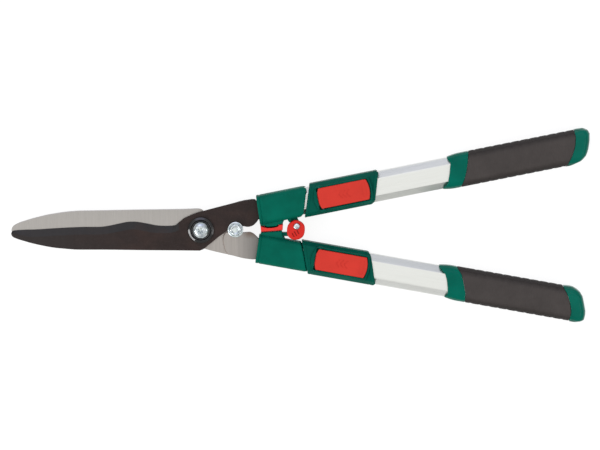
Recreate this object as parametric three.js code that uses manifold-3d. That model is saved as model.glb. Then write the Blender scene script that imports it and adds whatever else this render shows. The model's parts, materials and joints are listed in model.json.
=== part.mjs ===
// Telescopic hedge shears: two wavy blades crossing at a pivot bolt, each carried
// by a plastic socket with an aluminium inner tube, over which an outer tube with
// a cam clamp and a soft grip slides.
//
// Frame: origin on the pivot axis at the plane the shears rest on, +X towards the
// grips, +Y towards the upper handle, +Z up out of the resting plane. Millimetres.
import * as THREE from 'three';
import { mergeVertices } from 'three/addons/utils/BufferGeometryUtils.js';
import Module from 'manifold-3d';

const wasm = await Module();
wasm.setup();

// ------------------------------------------------------------ driving dimensions
const HALF_ANGLE = THREE.MathUtils.degToRad(10.715); // each handle from the X axis
const CROSS_X = -52.4;        // where the two handle axes meet, on the X axis
const MID_Z = 15;             // mid-plane of blades, tubes and grips
const GAP = 0.3;              // clearance between touching pieces
const PLATE = 3.5;            // blade and tang plate thickness
const Z_LOW = [MID_Z - 0.15 - PLATE, MID_Z - 0.15];   // silver blade's layer
const Z_HIGH = [MID_Z + 0.15, MID_Z + 0.15 + PLATE];  // black blade's layer
const GRIND = 9;              // width of the ground bevel
const EDGE_T = 0.6;           // thickness left at the cutting edge
const M8_R = 4, M8_HOLE = 4.3, M8_HEX = 13 / Math.sqrt(3), M8_FLANGE = 9.25;
const STOP_XY = [41.4, 0.1];  // stop bolt's axis
const KNOB_XY = [114.1, 4.07]; // lock knob's axis
const CUP_R = 15, CUP_BORE = 11.5;
const TUBE = { w: 35.6, t: 21.6, flat: 20, wall: 1.75 };   // outer tube section
const INNER = { w: 31.4, t: 17.4, flat: 18.26, wall: 1.4 }; // inner tube section
const INNER_U = [158, 470];   // inner tube's two ends along the handle
const SOCKET_Z = [1.5, 28.5];
const HOUSING_Z = [2, 28.4], FRAME_Z = 30.8, LEVER_TOP = 32.5;
const PIN_Z = 30.2, PIN_R = 1.5, HEEL_R = 3.9;
const GRIP_HALF = 20.3, GRIP_Z = [0, 30];

// ------------------------------------------------------------ small helpers
function flip(g) {
  const i = g.index.array;
  for (let k = 0; k < i.length; k += 3) { const t = i[k]; i[k] = i[k + 1]; i[k + 1] = t; }
}
function volume(g) {
  const p = g.attributes.position, i = g.index.array;
  const a = new THREE.Vector3(), b = new THREE.Vector3(), c = new THREE.Vector3();
  let v = 0;
  for (let k = 0; k < i.length; k += 3) {
    a.fromBufferAttribute(p, i[k]); b.fromBufferAttribute(p, i[k + 1]); c.fromBufferAttribute(p, i[k + 2]);
    v += a.dot(b.cross(c));
  }
  return v / 6;
}
function solid(geometry) {
  let g = geometry.clone();
  g.deleteAttribute('normal');
  g.deleteAttribute('uv');
  g = mergeVertices(g, 1e-4);
  if (volume(g) < 0) flip(g);
  return new wasm.Manifold(new wasm.Mesh({
    numProp: 3,
    vertProperties: new Float32Array(g.attributes.position.array),
    triVerts: new Uint32Array(g.index.array),
  }));
}
function geometryOf(body) {
  const m = body.getMesh();
  const g = new THREE.BufferGeometry();
  g.setAttribute('position', new THREE.BufferAttribute(new Float32Array(m.vertProperties), 3));
  g.setIndex(new THREE.BufferAttribute(new Uint32Array(m.triVerts), 1));
  return g;
}
const add = (...s) => s.reduce((a, b) => a.add(b));
const cut = (a, ...s) => s.reduce((x, y) => x.subtract(y), a);

// flat outline pushed up from z0 to z1, with an optional small chamfer
function prism(points, z0, z1, chamfer = 0) {
  const shape = new THREE.Shape(points.map(([x, y]) => new THREE.Vector2(x, y)));
  const g = new THREE.ExtrudeGeometry(shape, {
    depth: z1 - z0 - 2 * chamfer, steps: 1, curveSegments: 1, bevelEnabled: chamfer > 0,
    bevelThickness: chamfer, bevelSize: chamfer, bevelOffset: -chamfer, bevelSegments: 1,
  });
  g.translate(0, 0, z0 + chamfer);
  return solid(g);
}
// section in (across, z) pushed along the handle from u0 to u1
function bar(section, u0, u1) {
  const shape = new THREE.Shape(section.map(([y, z]) => new THREE.Vector2(y, z)));
  const g = new THREE.ExtrudeGeometry(shape, { depth: u1 - u0, steps: 1, bevelEnabled: false });
  g.applyMatrix4(new THREE.Matrix4().set(0, 0, 1, u0, 1, 0, 0, 0, 0, 1, 0, 0, 0, 0, 0, 1));
  return solid(g);
}
// turned piece from a closed (radius, z) profile, on a vertical axis through xy
function turned(profile, [x, y] = [0, 0], segments = 24) {
  const g = new THREE.LatheGeometry(profile.map(([r, z]) => new THREE.Vector2(r, z)), segments);
  g.rotateX(Math.PI / 2);
  g.translate(x, y, 0);
  return solid(g);
}
function rod(r, z0, z1, [x, y] = [0, 0], segments = 24, turn = 0) {
  const g = new THREE.CylinderGeometry(r, r, z1 - z0, segments, 1, false, turn);
  g.rotateX(Math.PI / 2);
  g.translate(x, y, (z0 + z1) / 2);
  return solid(g);
}
// rod across the handle (along local Y)
function crossRod(r, y0, y1, u, z, segments = 20) {
  const g = new THREE.CylinderGeometry(r, r, y1 - y0, segments);
  g.translate(u, (y0 + y1) / 2, z);
  return solid(g);
}
function block(u0, u1, y0, y1, z0, z1) {
  const g = new THREE.BoxGeometry(u1 - u0, y1 - y0, z1 - z0);
  g.translate((u0 + u1) / 2, (y0 + y1) / 2, (z0 + z1) / 2);
  return solid(g);
}
const hexNut = (af, bore, z0, z1, xy, turn = 0) =>
  cut(rod(af / Math.sqrt(3), z0, z1, xy, 6, turn), rod(bore, z0 - 1, z1 + 1, xy));
// long octagon: flat width `flat`, 45-degree shoulders, scaled by an offset
function octagon({ w, t, flat }, grow = 0) {
  const a = w / 2 + grow, b = t / 2 + grow, f = flat / 2 + grow * 0.414, s = b - (a - f);
  return [[-f, -b], [f, -b], [a, -s], [a, s], [f, b], [-f, b], [-a, s], [-a, -s]]
    .map(([y, z]) => [y, z + MID_Z]);
}
// handle coordinates (u along the axis, v outwards) to the shears' frame and back
function toModel(side, [u, v]) {
  const a = side * HALF_ANGLE, y = side * v;
  return [CROSS_X + u * Math.cos(a) - y * Math.sin(a), u * Math.sin(a) + y * Math.cos(a)];
}
function toHandle(side, [x, y]) {
  const a = side * HALF_ANGLE, dx = x - CROSS_X;
  return [dx * Math.cos(a) + y * Math.sin(a), -dx * Math.sin(a) + y * Math.cos(a)];
}
const plan = (side, pts) => pts.map(([u, v]) => [u, side * v]);
function arc([x, y], r, from, to, n) {
  const pts = [];
  for (let i = 0; i <= n; i++) {
    const a = THREE.MathUtils.degToRad(from + (to - from) * i / n);
    pts.push([x + r * Math.cos(a), y + r * Math.sin(a)]);
  }
  return pts;
}

// ------------------------------------------------------------ materials
const paint = {
  black_coated_steel: [0x3a302e, 0.38, 0.5],
  ground_steel: [0xb2aea8, 0.35, 0.9],
  zinc: [0xc8d7d7, 0.25, 1],
  green_plastic: [0x006250, 0.45, 0],
  red_plastic: [0xd63c30, 0.4, 0],
  soft_red: [0xe0302c, 0.6, 0],
  black_plastic: [0x15151a, 0.2, 0],
  grey_plastic: [0x6b6b6e, 0.5, 0],
  aluminium: [0xe2e3de, 0.35, 0.7],
  grip_rubber: [0x504c4b, 0.8, 0],
};
const shears = new THREE.Group();
const handle = {};
for (const side of [1, -1]) {
  handle[side] = new THREE.Group();
  handle[side].position.set(CROSS_X, 0, 0);
  handle[side].rotation.z = side * HALF_ANGLE;
  shears.add(handle[side]);
}
function piece(name, finish, body, parent = shears) {
  const [color, roughness, metalness] = paint[finish];
  const mesh = new THREE.Mesh(geometryOf(body), new THREE.MeshStandardMaterial({ color, roughness, metalness }));
  mesh.name = name;
  parent.add(mesh);
}

// ------------------------------------------------------------ blades
// Wavy cutting edge, tip to heel, then the tang's inner side up to the socket.
const WAVE = [[-225.3, -0.9], [-224.7, 1.2], [-220, 1.8], [-210.4, 2.3], [-196.2, 2.5], [-177.1, 3.5],
  [-158.1, 4.4], [-139, 4.9], [-120, 4.8], [-110.4, 5.9], [-100.9, 7.7], [-91.4, 9.7], [-86.6, 10.4],
  [-81.8, 10.6], [-77.1, 10.4], [-72.3, 9.8], [-62.8, 8], [-53.3, 6], [-43.8, 5.2], [-34.3, 5.3], [-29.5, 6.2]];
const NECK = [[-24.7, 10.2], [-19.9, 14], [-15.1, 16.3], [-10.3, 18.4], [-0.8, 21.6], [13.5, 25.3], [27.9, 28.9],
  [42.2, 32.2], [49.3, 33.8], [61, 35.5]];
const BACK = [[-224.8, -5.4], [-220.1, -7.8], [-210.6, -10.9], [-201.1, -13.7], [-191.6, -16], [-182.1, -18],
  [-172.6, -19.6], [-163.1, -20.6], [-153.6, -21.5], [-144.1, -22], [-110.7, -22.4], [-67.9, -23.4],
  [-34.6, -24], [-1.6, -24.7], [3.6, -22.5], [8.3, -18.5], [13.8, -14.4], [19.7, -9.4], [26.7, -4.5], [31.1, -1.2]];
const LOBE = [[51, 4], [54.8, 3.2], [58.6, 3.4], [62.5, 5], [66.3, 8.4], [68.6, 11.8]];
const TONGUE = [[121.6, -10.9], [153, -10.9], [153, 11], [122.7, 11.7]];   // in handle coordinates
const mirrorY = (pts) => pts.map(([x, y]) => [x, -y]);

// Blade built flat face down: the body at full thickness, and the bevelled band
// along the wavy edge, whose top surface falls from the ridge to the edge.
function blade(edge, back, tangOuter, tangInner, z0, faceUp) {
  const ridge = edge.slice(1).map(([x, y]) => {
    const spineY = back.reduce((best, p, i) => {
      if (i === 0 || !(back[i - 1][0] <= x && p[0] >= x)) return best;
      const q = back[i - 1], k = (x - q[0]) / (p[0] - q[0] || 1);
      return q[1] + k * (p[1] - q[1]);
    }, back[0][1]);
    return [x, y - Math.min(GRIND, 0.6 * (y - spineY))];
  });
  const tip = [edge[0][0] + 0.25, edge[0][1] - 2.3];
  const inner = [tip, ...ridge.slice(1)];
  const last = edge[edge.length - 1];
  const bodyOutline = [...inner, last, ...tangOuter, ...tangInner, ...back.slice().reverse()];
  const z1 = z0 + PLATE;
  let body = prism(bodyOutline, z0, z1);
  const bandOutline = [...edge, ...inner.slice().reverse()];
  const g = new THREE.ExtrudeGeometry(new THREE.Shape(bandOutline.map((p) => new THREE.Vector2(...p))),
    { depth: PLATE, steps: 1, bevelEnabled: false });
  g.translate(0, 0, z0);
  const pos = g.attributes.position;
  for (let i = 0; i < pos.count; i++) {
    if (pos.getZ(i) < z1 - 0.01) continue;
    for (const [x, y] of edge) {
      if (Math.abs(pos.getX(i) - x) < 1e-3 && Math.abs(pos.getY(i) - y) < 1e-3) pos.setZ(i, z0 + EDGE_T);
    }
  }
  body = body.add(solid(g));
  return body;
}
const pivotHole = rod(M8_HOLE, -5, 40, [0, 0], 32);
const stopHole = rod(M8_HOLE + 0.3, -5, 40, STOP_XY, 32);
const socketHole = {};
for (const side of [1, -1]) socketHole[side] = rod(2.9, -5, 40, toModel(side, [140, 0]), 20);

{ // black blade: upper layer, tang to the upper handle, open notch round the stop bolt
  const notchSide = [[36.9, 1.2]];
  const tangInner = [toModel(1, TONGUE[3]), toModel(1, TONGUE[2]), toModel(1, TONGUE[1]), toModel(1, TONGUE[0]),
    ...LOBE.slice().reverse(), [46.2, 3.6], [45.9, 1.2], ...notchSide];
  let b = blade(WAVE, BACK, NECK, tangInner, Z_HIGH[0], true);
  b = cut(b, pivotHole, socketHole[1], rod(M8_HOLE + 0.3, -5, 40, STOP_XY, 32));
  piece('black_blade', 'black_coated_steel', b);
}
{ // silver blade: lower layer, bevel underneath, tang to the lower handle
  const edge = mirrorY(WAVE).map(([x, y], i) => [x, Math.min(y, WAVE[i][1] - 1.4)]);
  edge[0] = [-225.3, 1.4];
  const back = mirrorY([[-224.8, -6.5], [-219.9, -9.8], [-210.3, -12.8], [-200.8, -15.5], [-191.2, -17.9],
    [-181.7, -20], [-172.2, -21.5], [-162.6, -22.9], [-153.1, -23.7], [-143.6, -24.2], [-115, -24.4], [-81.7, -24.7],
    [-48.3, -24.8], [-19.8, -24.8], [-5.5, -25.3], [0.4, -23.5], [3.6, -22.5], [8.3, -18.5], [13.8, -14.4],
    [19.7, -9.4], [26.7, -4.5], [31.1, -1.2]]);
  // work on the mirrored outline (edge above the back), then turn it over
  const e = mirrorY(edge), k = mirrorY(back);
  const neck = [[-24.7, 10.2], [-19.9, 14], [-15.1, 16.3], [-10.3, 18.4], [-0.8, 21.6], [3.9, 22.8], [12.8, 25.3],
    [26.4, 28.7], [37.7, 31], [46.4, 33.4], [52.2, 34.7], [61.3, 35.9]];
  const tangInner = [toModel(1, TONGUE[3]), toModel(1, TONGUE[2]), toModel(1, TONGUE[1]), toModel(1, TONGUE[0]),
    [68.4, 11], [66.1, 8.3], [62.4, 4.9], [58.6, 3.3], [54.8, 3.3], [51, 3.6], [46, 2]];
  let b = blade(e, k, neck, tangInner, 0, true);
  b = b.rotate([180, 0, 0]).translate([0, 0, Z_LOW[1]]);
  b = b.add(rod(8.6, Z_LOW[0], Z_LOW[1], STOP_XY, 32));
  b = cut(b, pivotHole, socketHole[-1], rod(M8_HOLE, -5, 40, STOP_XY, 32));
  piece('silver_blade', 'ground_steel', b);
}
{ // packing plates: each fills the other blade's layer inside its own socket
  const outer = [[64.8, -35.7], [61.3, -35.9], [52.2, -34.7], [46.4, -33.4], [37.7, -31], [32.2, -29.7]];
  const curve = [[28.7, -25.5], [26.9, -16.4], [25.9, -11.8], [27.2, -6.6], [29.9, -3]];
  const lower = [...outer, ...curve, [33.4, -2.6], [36.6, -2.4], [46.2, -2.4], [48, -3], [51, -3.6], [54.8, -3.3],
    [58.6, -3.3], [62.4, -4.9], [66.1, -8.3], [68.4, -11], toModel(-1, TONGUE[0]), toModel(-1, TONGUE[1]),
    toModel(-1, TONGUE[2]), toModel(-1, TONGUE[3])];
  piece('lower_tang_plate', 'ground_steel',
    cut(prism(lower, ...Z_HIGH), rod(M8_HOLE, -5, 40, STOP_XY, 32), socketHole[-1]));
  const upper = [...mirrorY(outer), ...mirrorY(curve), [32.4, 3.6], [34.2, 6.2], [37, 8.4], [41.4, 9.5], [45.8, 8.4],
    [49, 5.6], ...LOBE, toModel(1, TONGUE[0]), toModel(1, TONGUE[1]), toModel(1, TONGUE[2]), toModel(1, TONGUE[3])];
  piece('upper_tang_spacer', 'black_coated_steel', cut(prism(upper, ...Z_LOW), socketHole[1]));
}

// ------------------------------------------------------------ pivot and stop hardware
{
  const seat = Z_HIGH[1] + GAP;                                   // 18.95
  piece('pivot_cup', 'black_plastic', turned([[M8_HOLE, seat], [CUP_R - 0.4, seat], [CUP_R, seat + 0.6],
    [CUP_R, seat + 2.2], [CUP_R - 1.2, seat + 3.3], [CUP_BORE + 1, seat + 3.3], [CUP_BORE, seat + 2.3],
    [CUP_BORE, seat + 1], [M8_HOLE, seat + 1], [M8_HOLE, seat]], [0, 0], 40));
  const top = seat + 1 + GAP;                                     // under the bolt's flange
  piece('pivot_bolt', 'zinc', turned([[0, 0], [M8_R - 0.6, 0], [M8_R, 0.8], [M8_R, top], [9.7, top], [9.7, top + 1],
    [8.4, top + 1.9], [7.6, top + 4.6], [6.2, top + 5.6], [3.2, top + 6], [2.6, top + 4.6], [0, top + 4.6]], [0, 0], 32));
  piece('pivot_washer', 'zinc', turned([[M8_HOLE, 9.45], [9.5, 9.45], [9.5, 11.05], [M8_HOLE, 11.05], [M8_HOLE, 9.45]], [0, 0], 32));
  piece('pivot_nut', 'zinc', hexNut(13, M8_HOLE, 2.4, 9.15, [0, 0]));
  const hexHead = rod(M8_HEX, seat + 1.4, seat + 6.6, STOP_XY, 6, 0.4)
    .subtract(turned([[0, seat + 5.9], [4.6, seat + 5.9], [4.6, seat + 9], [0, seat + 9]], STOP_XY, 20));
  piece('stop_bolt', 'zinc', add(turned([[0, 2.6], [M8_R - 0.6, 2.6], [M8_R, 3.4], [M8_R, seat], [M8_FLANGE, seat],
    [M8_FLANGE, seat + 0.9], [7.2, seat + 1.8], [0, seat + 1.8]], STOP_XY, 32), hexHead));
  piece('stop_bolt_nut', 'zinc', hexNut(13, M8_HOLE, 4.45, 11.05, STOP_XY, 0.3));
}

// ------------------------------------------------------------ sockets
const SOCKET_INNER = { 1: 17.8, '-1': 17.2 }; // inner flank, measured from the handle's axis
const socketSection = (side, f = SOCKET_INNER[side]) => [[5.7 - f, 1.5], [11, 1.5], [16, 6], [17.6, 11], [17.6, 19],
  [16, 24], [11, 28.5], [5.7 - f, 28.5], [1.6 - f, 24], [-f, 19], [-f, 11], [1.6 - f, 6]].map(([v, z]) => [side * v, z]);
function socketCut(side) {
  return [
    block(118, 154, -11.8, 11.9, Z_LOW[0] - GAP, Z_HIGH[1] + GAP),        // tang slot
    bar(octagon(INNER, GAP), INNER_U[0] - GAP, 200),                        // inner tube's pocket
    rod(2.8, -5, 24.3, [140, 0], 20), rod(5.1, -5, 3.9, [140, 0], 24),      // tang screw
    rod(2.3, -5, 20, [170, -side * 2], 20), rod(4.3, -5, 3.2, [170, -side * 2], 24), // tube screw
  ];
}
{
  const side = 1;
  const bodyPlan = plan(side, [[125.4, 17.6], [181, 17.6], [183.5, 16.4], [184.3, 14.2], [175.9, -14.5], [173.6, -17.4],
    [171.4, -18.3], [122.7, -18.3]]);
  const body = prism(bodyPlan, ...SOCKET_Z).intersect(bar(socketSection(side), 110, 200));
  const rib = prism([[71.3, 16], [70.6, 4], [76.2, 3.9], [79.1, 2.3], [90.2, 3.2], [93.2, 5.4], [97.4, 5.8],
    [94.3, 13], [93.5, 22], [72, 20]].map((p) => toHandle(side, p)), 7, 23);
  const lug = add(prism([[104.4, 19], [105.2, 14], [109.2, 5.5], [110.5, 0.8], [117.5, 0.8], [119, 5.5], [117, 12], [117.2, 18]]
    .map((p) => toHandle(side, p)), 9, 19.5), rod(5, 9, 19.5, toHandle(side, KNOB_XY), 24));
  let s = cut(add(body, rib, lug), ...socketCut(side), rod(2.3, 0, 40, toHandle(side, KNOB_XY), 20));
  piece('upper_socket', 'green_plastic', s, handle[side]);
  // soft bumper bonded under the rib
  piece('rubber_buffer', 'soft_red', prism([[71.5, -3.7], [97.5, -1.9], [98.1, 5.4], [93.1, 5], [90.1, 2.8], [79.2, 1.9],
    [76.3, 3.5], [70.9, 3.6]].map((p) => toHandle(side, p)), 8, 22), handle[side]);
}
{
  const side = -1;
  const bodyPlan = plan(side, [[123.2, 17.6], [183.2, 17.6], [183.6, 16.8], [178, 0.7], [172.2, -14], [170.4, -16.8],
    [168, -18.3], [120.9, -18.3]]);
  const body = prism(bodyPlan, ...SOCKET_Z).intersect(bar(socketSection(side), 110, 200));
  const pad = prism([[71.5, -4.1], [96.4, -2.3], [97, -3.7], [97.8, -12], [97, -20], [70, -20], [69.2, -12]]
    .map((p) => toHandle(side, p)), 7, 23);
  const finger = prism([[94, -3.9], [107.5, -3.9], [107.5, -8.4], [94, -8.4]].map((p) => toHandle(side, p)), 9, 19.5);
  piece('lower_socket', 'green_plastic', cut(add(body, pad, finger), ...socketCut(side)), handle[side]);
}
// socket screws from underneath: one through the tang, one into the inner tube
function panScrew(r, head, h, z0, z1, xy) {
  return turned([[0, z0], [head - 0.5, z0], [head, z0 + 0.5], [head, z0 + h], [r, z0 + h], [r, z1], [0, z1]], xy, 20);
}
for (const [side, name] of [[1, 'upper'], [-1, 'lower']]) {
  piece(`${name}_tang_screw`, 'zinc', panScrew(2.5, 4.8, 1.7, 1.9, 24, [140, 0]), handle[side]);
  piece(`${name}_tube_screw`, 'zinc', panScrew(2, 4, 1.2, 1.7, 14, [170, -side * 2]), handle[side]);
}

// ------------------------------------------------------------ inner tubes
for (const [side, name] of [[1, 'upper'], [-1, 'lower']]) {
  const bore = octagon(INNER, -INNER.wall);
  piece(`${name}_inner_tube`, 'aluminium', cut(bar(octagon(INNER), ...INNER_U), bar(bore, INNER_U[0] - 5, INNER_U[1] + 5),
    rod(2.3, -5, 12, [170, -side * 2], 20)), handle[side]);
  piece(`${name}_glide_bush`, 'grey_plastic', cut(add(bar(octagon(INNER, 0.14), INNER_U[1] + GAP, INNER_U[1] + 4.3),
    bar(octagon(INNER, -INNER.wall - GAP), INNER_U[1] - 13, INNER_U[1] + 1)),
    bar(octagon(INNER, -INNER.wall - GAP - 1.8), INNER_U[1] - 20, INNER_U[1] + 10)), handle[side]);
}

// ------------------------------------------------------------ sliding halves
const rounded = (u0, u1, v0, v1, bulge, r) => [ // rounded rectangle with bowed ends
  [u0 + bulge, v0 + r * 0], [u0 + bulge + r, v0], [u1 - bulge - r, v0], [u1 - bulge * 0.8, v0 + r], [u1 - bulge * 0.3, (v0 * 0.75 + v1 * 0.25)],
  [u1, (v0 + v1) / 2], [u1 - bulge * 0.3, (v0 * 0.25 + v1 * 0.75)], [u1 - bulge * 0.8, v1 - r], [u1 - bulge - r, v1], [u0 + bulge + r, v1],
  [u0 + bulge * 0.8, v1 - r], [u0 + bulge * 0.3, (v0 * 0.25 + v1 * 0.75)], [u0, (v0 + v1) / 2], [u0 + bulge * 0.3, (v0 * 0.75 + v1 * 0.25)], [u0 + bulge * 0.8, v0 + r],
].slice(1);
const slider = {
  upper: { side: 1, lever: [195.5, 258.7, -13.5, 12], housing: [[188.9, 19.2], [270.3, 19.2], [271.9, 17.5], [262, -14.9],
    [259.6, -18.2], [257.4, -19.2], [176.7, -19.2]], front: [[355, 20.3], [357.6, 14], [357.2, 6], [352, -6], [344.4, -16], [343, -20.3]],
    seam1: [[381.1, 20.3], [366, -20.3]], seam2: [[511, 20.3], [495, -20.3]],
    end: [[517.5, 20.3], [524.6, 17.5], [527, 10.3], [526, 3], [520.3, -9.7], [513.5, -15.5], [504.3, -19.2], [501, -20.3]] },
  lower: { side: -1, lever: [191.2, 254.3, -12.4, 13], housing: [[185.6, 19.2], [265.6, 19.2], [267, 17.6], [256.1, -15.5],
    [254.4, -18.3], [252.1, -19.2], [171.9, -19.2]], front: [[350.6, 20.3], [353.4, 14.6], [351, 3.7], [346.4, -6], [340.4, -16.8], [338.8, -20.3]],
    seam1: [[375.6, 20.3], [358.7, -20.3]], seam2: [[503.3, 20.3], [490.1, -20.3]],
    end: [[511.4, 20.3], [517.6, 17.4], [519.7, 9.5], [518, 2], [513.7, -8.4], [510, -13.5], [504.7, -17.6], [497, -20.3]] },
};
// soft oval section of the grip, flat underneath
const gripSection = [[-11.5, 0], [11.5, 0], [17, 2.6], [19.8, 8.2], [GRIP_HALF, 15], [19.8, 21.8], [17, 27.4], [11.5, 30],
  [-11.5, 30], [-17, 27.4], [-19.8, 21.8], [-GRIP_HALF, 15], [-19.8, 8.2], [-17, 2.6]];
for (const [name, s] of Object.entries(slider)) {
  const { side } = s, parent = handle[side];
  const [l0, l1, v0, v1] = s.lever;
  const pinU = l0 + HEEL_R + 0.3;
  const leverPlan = plan(side, rounded(l0, l1, v0, v1, 2.3, 1.6));
  const tubeU0 = l0 + 20;                                     // outer tube starts behind the cam
  const tubeU1 = (s.seam2[0][0] + s.seam2[1][0]) / 2 + 8;
  // clamp housing: chamfered sleeve with a raised frame round the lever
  const body = prism(plan(side, s.housing), HOUSING_Z[0], HOUSING_Z[1]).intersect(bar(
    [[-14, 2], [14, 2], [19.2, 7.6], [19.2, 22.4], [14.2, 28.4], [-14.2, 28.4], [-19.2, 22.4], [-19.2, 7.6]], 150, 300));
  const frame = prism(plan(side, rounded(l0 - 5, l1 + 2.6, v0 - 2.2, v1 + 2.2, 3, 2.4)), HOUSING_Z[1] - 1, FRAME_Z);
  const recess = prism(plan(side, rounded(l0 - 0.5, l1 + 0.9, v0 - 0.5, v1 + 0.5, 2.3, 1.6)), 28, FRAME_Z + 2);
  const trough = block(l0 - 0.5, pinU + HEEL_R + 0.4, Math.min(side * (v0 - 0.5), side * (v1 + 0.5)),
    Math.max(side * (v0 - 0.5), side * (v1 + 0.5)), PIN_Z - HEEL_R - 0.35, FRAME_Z + 2);
  const padV = 8, padU = [pinU - 5.5, pinU + 5.5];
  const window = block(padU[0] - GAP, padU[1] + GAP, -padV - GAP, padV + GAP, 20, 30);
  const pinHole = crossRod(PIN_R + GAP, -30, 30, pinU, PIN_Z);
  const rivet = [tubeU0 + 14, 0];
  piece(`${name}_clamp_housing`, 'green_plastic', cut(add(body, frame), recess, trough, window, pinHole,
    bar(octagon(INNER, GAP), 150, tubeU0 + 1), bar(octagon(TUBE, GAP), tubeU0 - GAP, 320),
    rod(2.3, -5, 8, rivet, 20), rod(4.1, -5, 3, rivet, 20)), parent);
  piece(`${name}_housing_rivet`, 'zinc', turned([[0, 2.1], [3.8, 2.1], [3.8, 2.7], [2, 2.7], [2, 5.5], [0, 5.5]].map(([r, z]) =>
    [r, z]), rivet, 20), parent);
  // cam lever: a flat paddle with a round heel on the pin
  const paddle = prism(leverPlan, 28.3, LEVER_TOP);
  const keep = add(block(pinU, l1 + 5, -30, 30, 20, 40), crossRod(HEEL_R, -30, 30, pinU, PIN_Z, 28));
  const heelV = plan(side, [[0, v0 + 1.2], [0, v1 - 1.2]]).map((p) => p[1]).sort((a, b) => a - b);
  const heel = crossRod(HEEL_R, heelV[0], heelV[1], pinU, PIN_Z, 28).intersect(block(pinU - 9, pinU + 9, -30, 30, 20, LEVER_TOP));
  piece(`${name}_clamp_lever`, 'red_plastic', cut(add(paddle.intersect(keep), heel), crossRod(PIN_R + GAP, -30, 30, pinU, PIN_Z)), parent);
  const pinEnds = plan(side, [[0, v0 - 1.9], [0, v1 + 1.9]]).map((p) => p[1]).sort((a, b) => a - b);
  piece(`${name}_lever_pin`, 'zinc', crossRod(PIN_R, pinEnds[0], pinEnds[1], pinU, PIN_Z), parent);
  piece(`${name}_clamp_pad`, 'grey_plastic', block(padU[0], padU[1], -padV, padV, MID_Z + INNER.t / 2 + GAP, 25.9), parent);
  // outer tube
  piece(`${name}_outer_tube`, 'aluminium', cut(bar(octagon(TUBE), tubeU0, tubeU1),
    bar(octagon(TUBE, -TUBE.wall), tubeU0 - 5, tubeU1 + 5), rod(2.3, -5, 10, rivet, 20)), parent);
  // grip: front collar, soft sleeve, end cap with a plug in the tube
  const section = bar(gripSection, 300, 560);
  const bore = bar(octagon(TUBE, GAP), 300, tubeU1 + GAP);
  const [a0, a1] = s.seam1, [b0, b1] = s.seam2;
  const shift = (p, d) => [p[0] + d, p[1]];
  piece(`${name}_grip_collar`, 'green_plastic', cut(prism(plan(side, [...s.front, a1, a0]), 0, 30).intersect(section), bore), parent);
  piece(`${name}_grip_sleeve`, 'grip_rubber', cut(prism(plan(side, [shift(a0, GAP), shift(a1, GAP), shift(b1, -GAP), shift(b0, -GAP)]),
    0, 30).intersect(section), bore), parent);
  piece(`${name}_grip_end_cap`, 'green_plastic', add(cut(prism(plan(side, [b0, b1, ...s.end.slice().reverse()]), 0, 30)
    .intersect(section), bore), bar(octagon(TUBE, -TUBE.wall - GAP), tubeU1 - 12, tubeU1 + 2)), parent);
}

// ------------------------------------------------------------ lock knob
{
  const outline = [[113.2, 10.9], [118.7, 8.5], [122.6, 4.9], [123.6, 0.9], [122.9, -5.2], [121.4, -9.1], [116.9, -12.4],
    [111, -13.2], [106.3, -11.5], [103.4, -8], [102.4, -3.7], [102.8, 1.8], [104.7, 6.3], [108.9, 9.6]];
  const knob = prism(outline, 19.9, 27, 0.8);
  piece('lock_knob', 'red_plastic', cut(knob, rod(2.3, 10, 40, KNOB_XY, 20), rod(4, 26.6, 40, KNOB_XY, 20)));
  piece('knob_screw', 'zinc', turned([[0, 3.6], [2, 3.6], [2, 26.9], [3.65, 26.9], [3.65, 28.4], [2.4, 29.3], [0, 29.5]], KNOB_XY, 20));
  piece('knob_nut', 'zinc', hexNut(7, 2.3, 5.4, 8.7, KNOB_XY));
}

export default shears;
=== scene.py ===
import json
import math

import bmesh
import bpy
import numpy as np
from mathutils import Matrix, Vector
from mathutils.geometry import delaunay_2d_cdt


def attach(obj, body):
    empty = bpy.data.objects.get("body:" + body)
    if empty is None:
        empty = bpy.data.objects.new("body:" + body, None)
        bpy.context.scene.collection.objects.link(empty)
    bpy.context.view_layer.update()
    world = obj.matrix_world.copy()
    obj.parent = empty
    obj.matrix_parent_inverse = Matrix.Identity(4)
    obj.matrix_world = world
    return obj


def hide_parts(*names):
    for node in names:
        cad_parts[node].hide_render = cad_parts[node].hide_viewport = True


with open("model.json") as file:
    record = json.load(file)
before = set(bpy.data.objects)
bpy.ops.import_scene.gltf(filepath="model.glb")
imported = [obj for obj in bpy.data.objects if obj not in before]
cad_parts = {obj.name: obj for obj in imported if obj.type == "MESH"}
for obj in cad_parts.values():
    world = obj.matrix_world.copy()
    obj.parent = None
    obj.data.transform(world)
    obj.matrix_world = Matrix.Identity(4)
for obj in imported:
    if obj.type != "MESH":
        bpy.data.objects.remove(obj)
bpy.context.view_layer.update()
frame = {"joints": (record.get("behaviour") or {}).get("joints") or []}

MM = 0.001

# ---------------------------------------------------------------- frame of each handle
J = {j["name"]: j for j in frame["joints"]}
SIDE = {"upper": 1, "lower": -1}
AXIS, CROSS = {}, {}
for _n in SIDE:
    _a = J[f"{_n}_handle_slide"]["axis"]
    _p = J[f"{_n}_lever_hinge"]["pos_m"]
    AXIS[_n] = np.array([_a[0], _a[1]]) / math.hypot(_a[0], _a[1])
    CROSS[_n] = np.array([(_p[0] - _p[1] * _a[0] / _a[1]) * 1000, 0.0])


def to_model(name, uv):
    """(u along the handle, v outwards) in mm to the shears' plan, in mm."""
    uv = np.atleast_2d(np.asarray(uv, float))
    a, s = AXIS[name], SIDE[name]
    return CROSS[name] + uv[:, :1] * a + s * uv[:, 1:2] * np.array([-a[1], a[0]])


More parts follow.
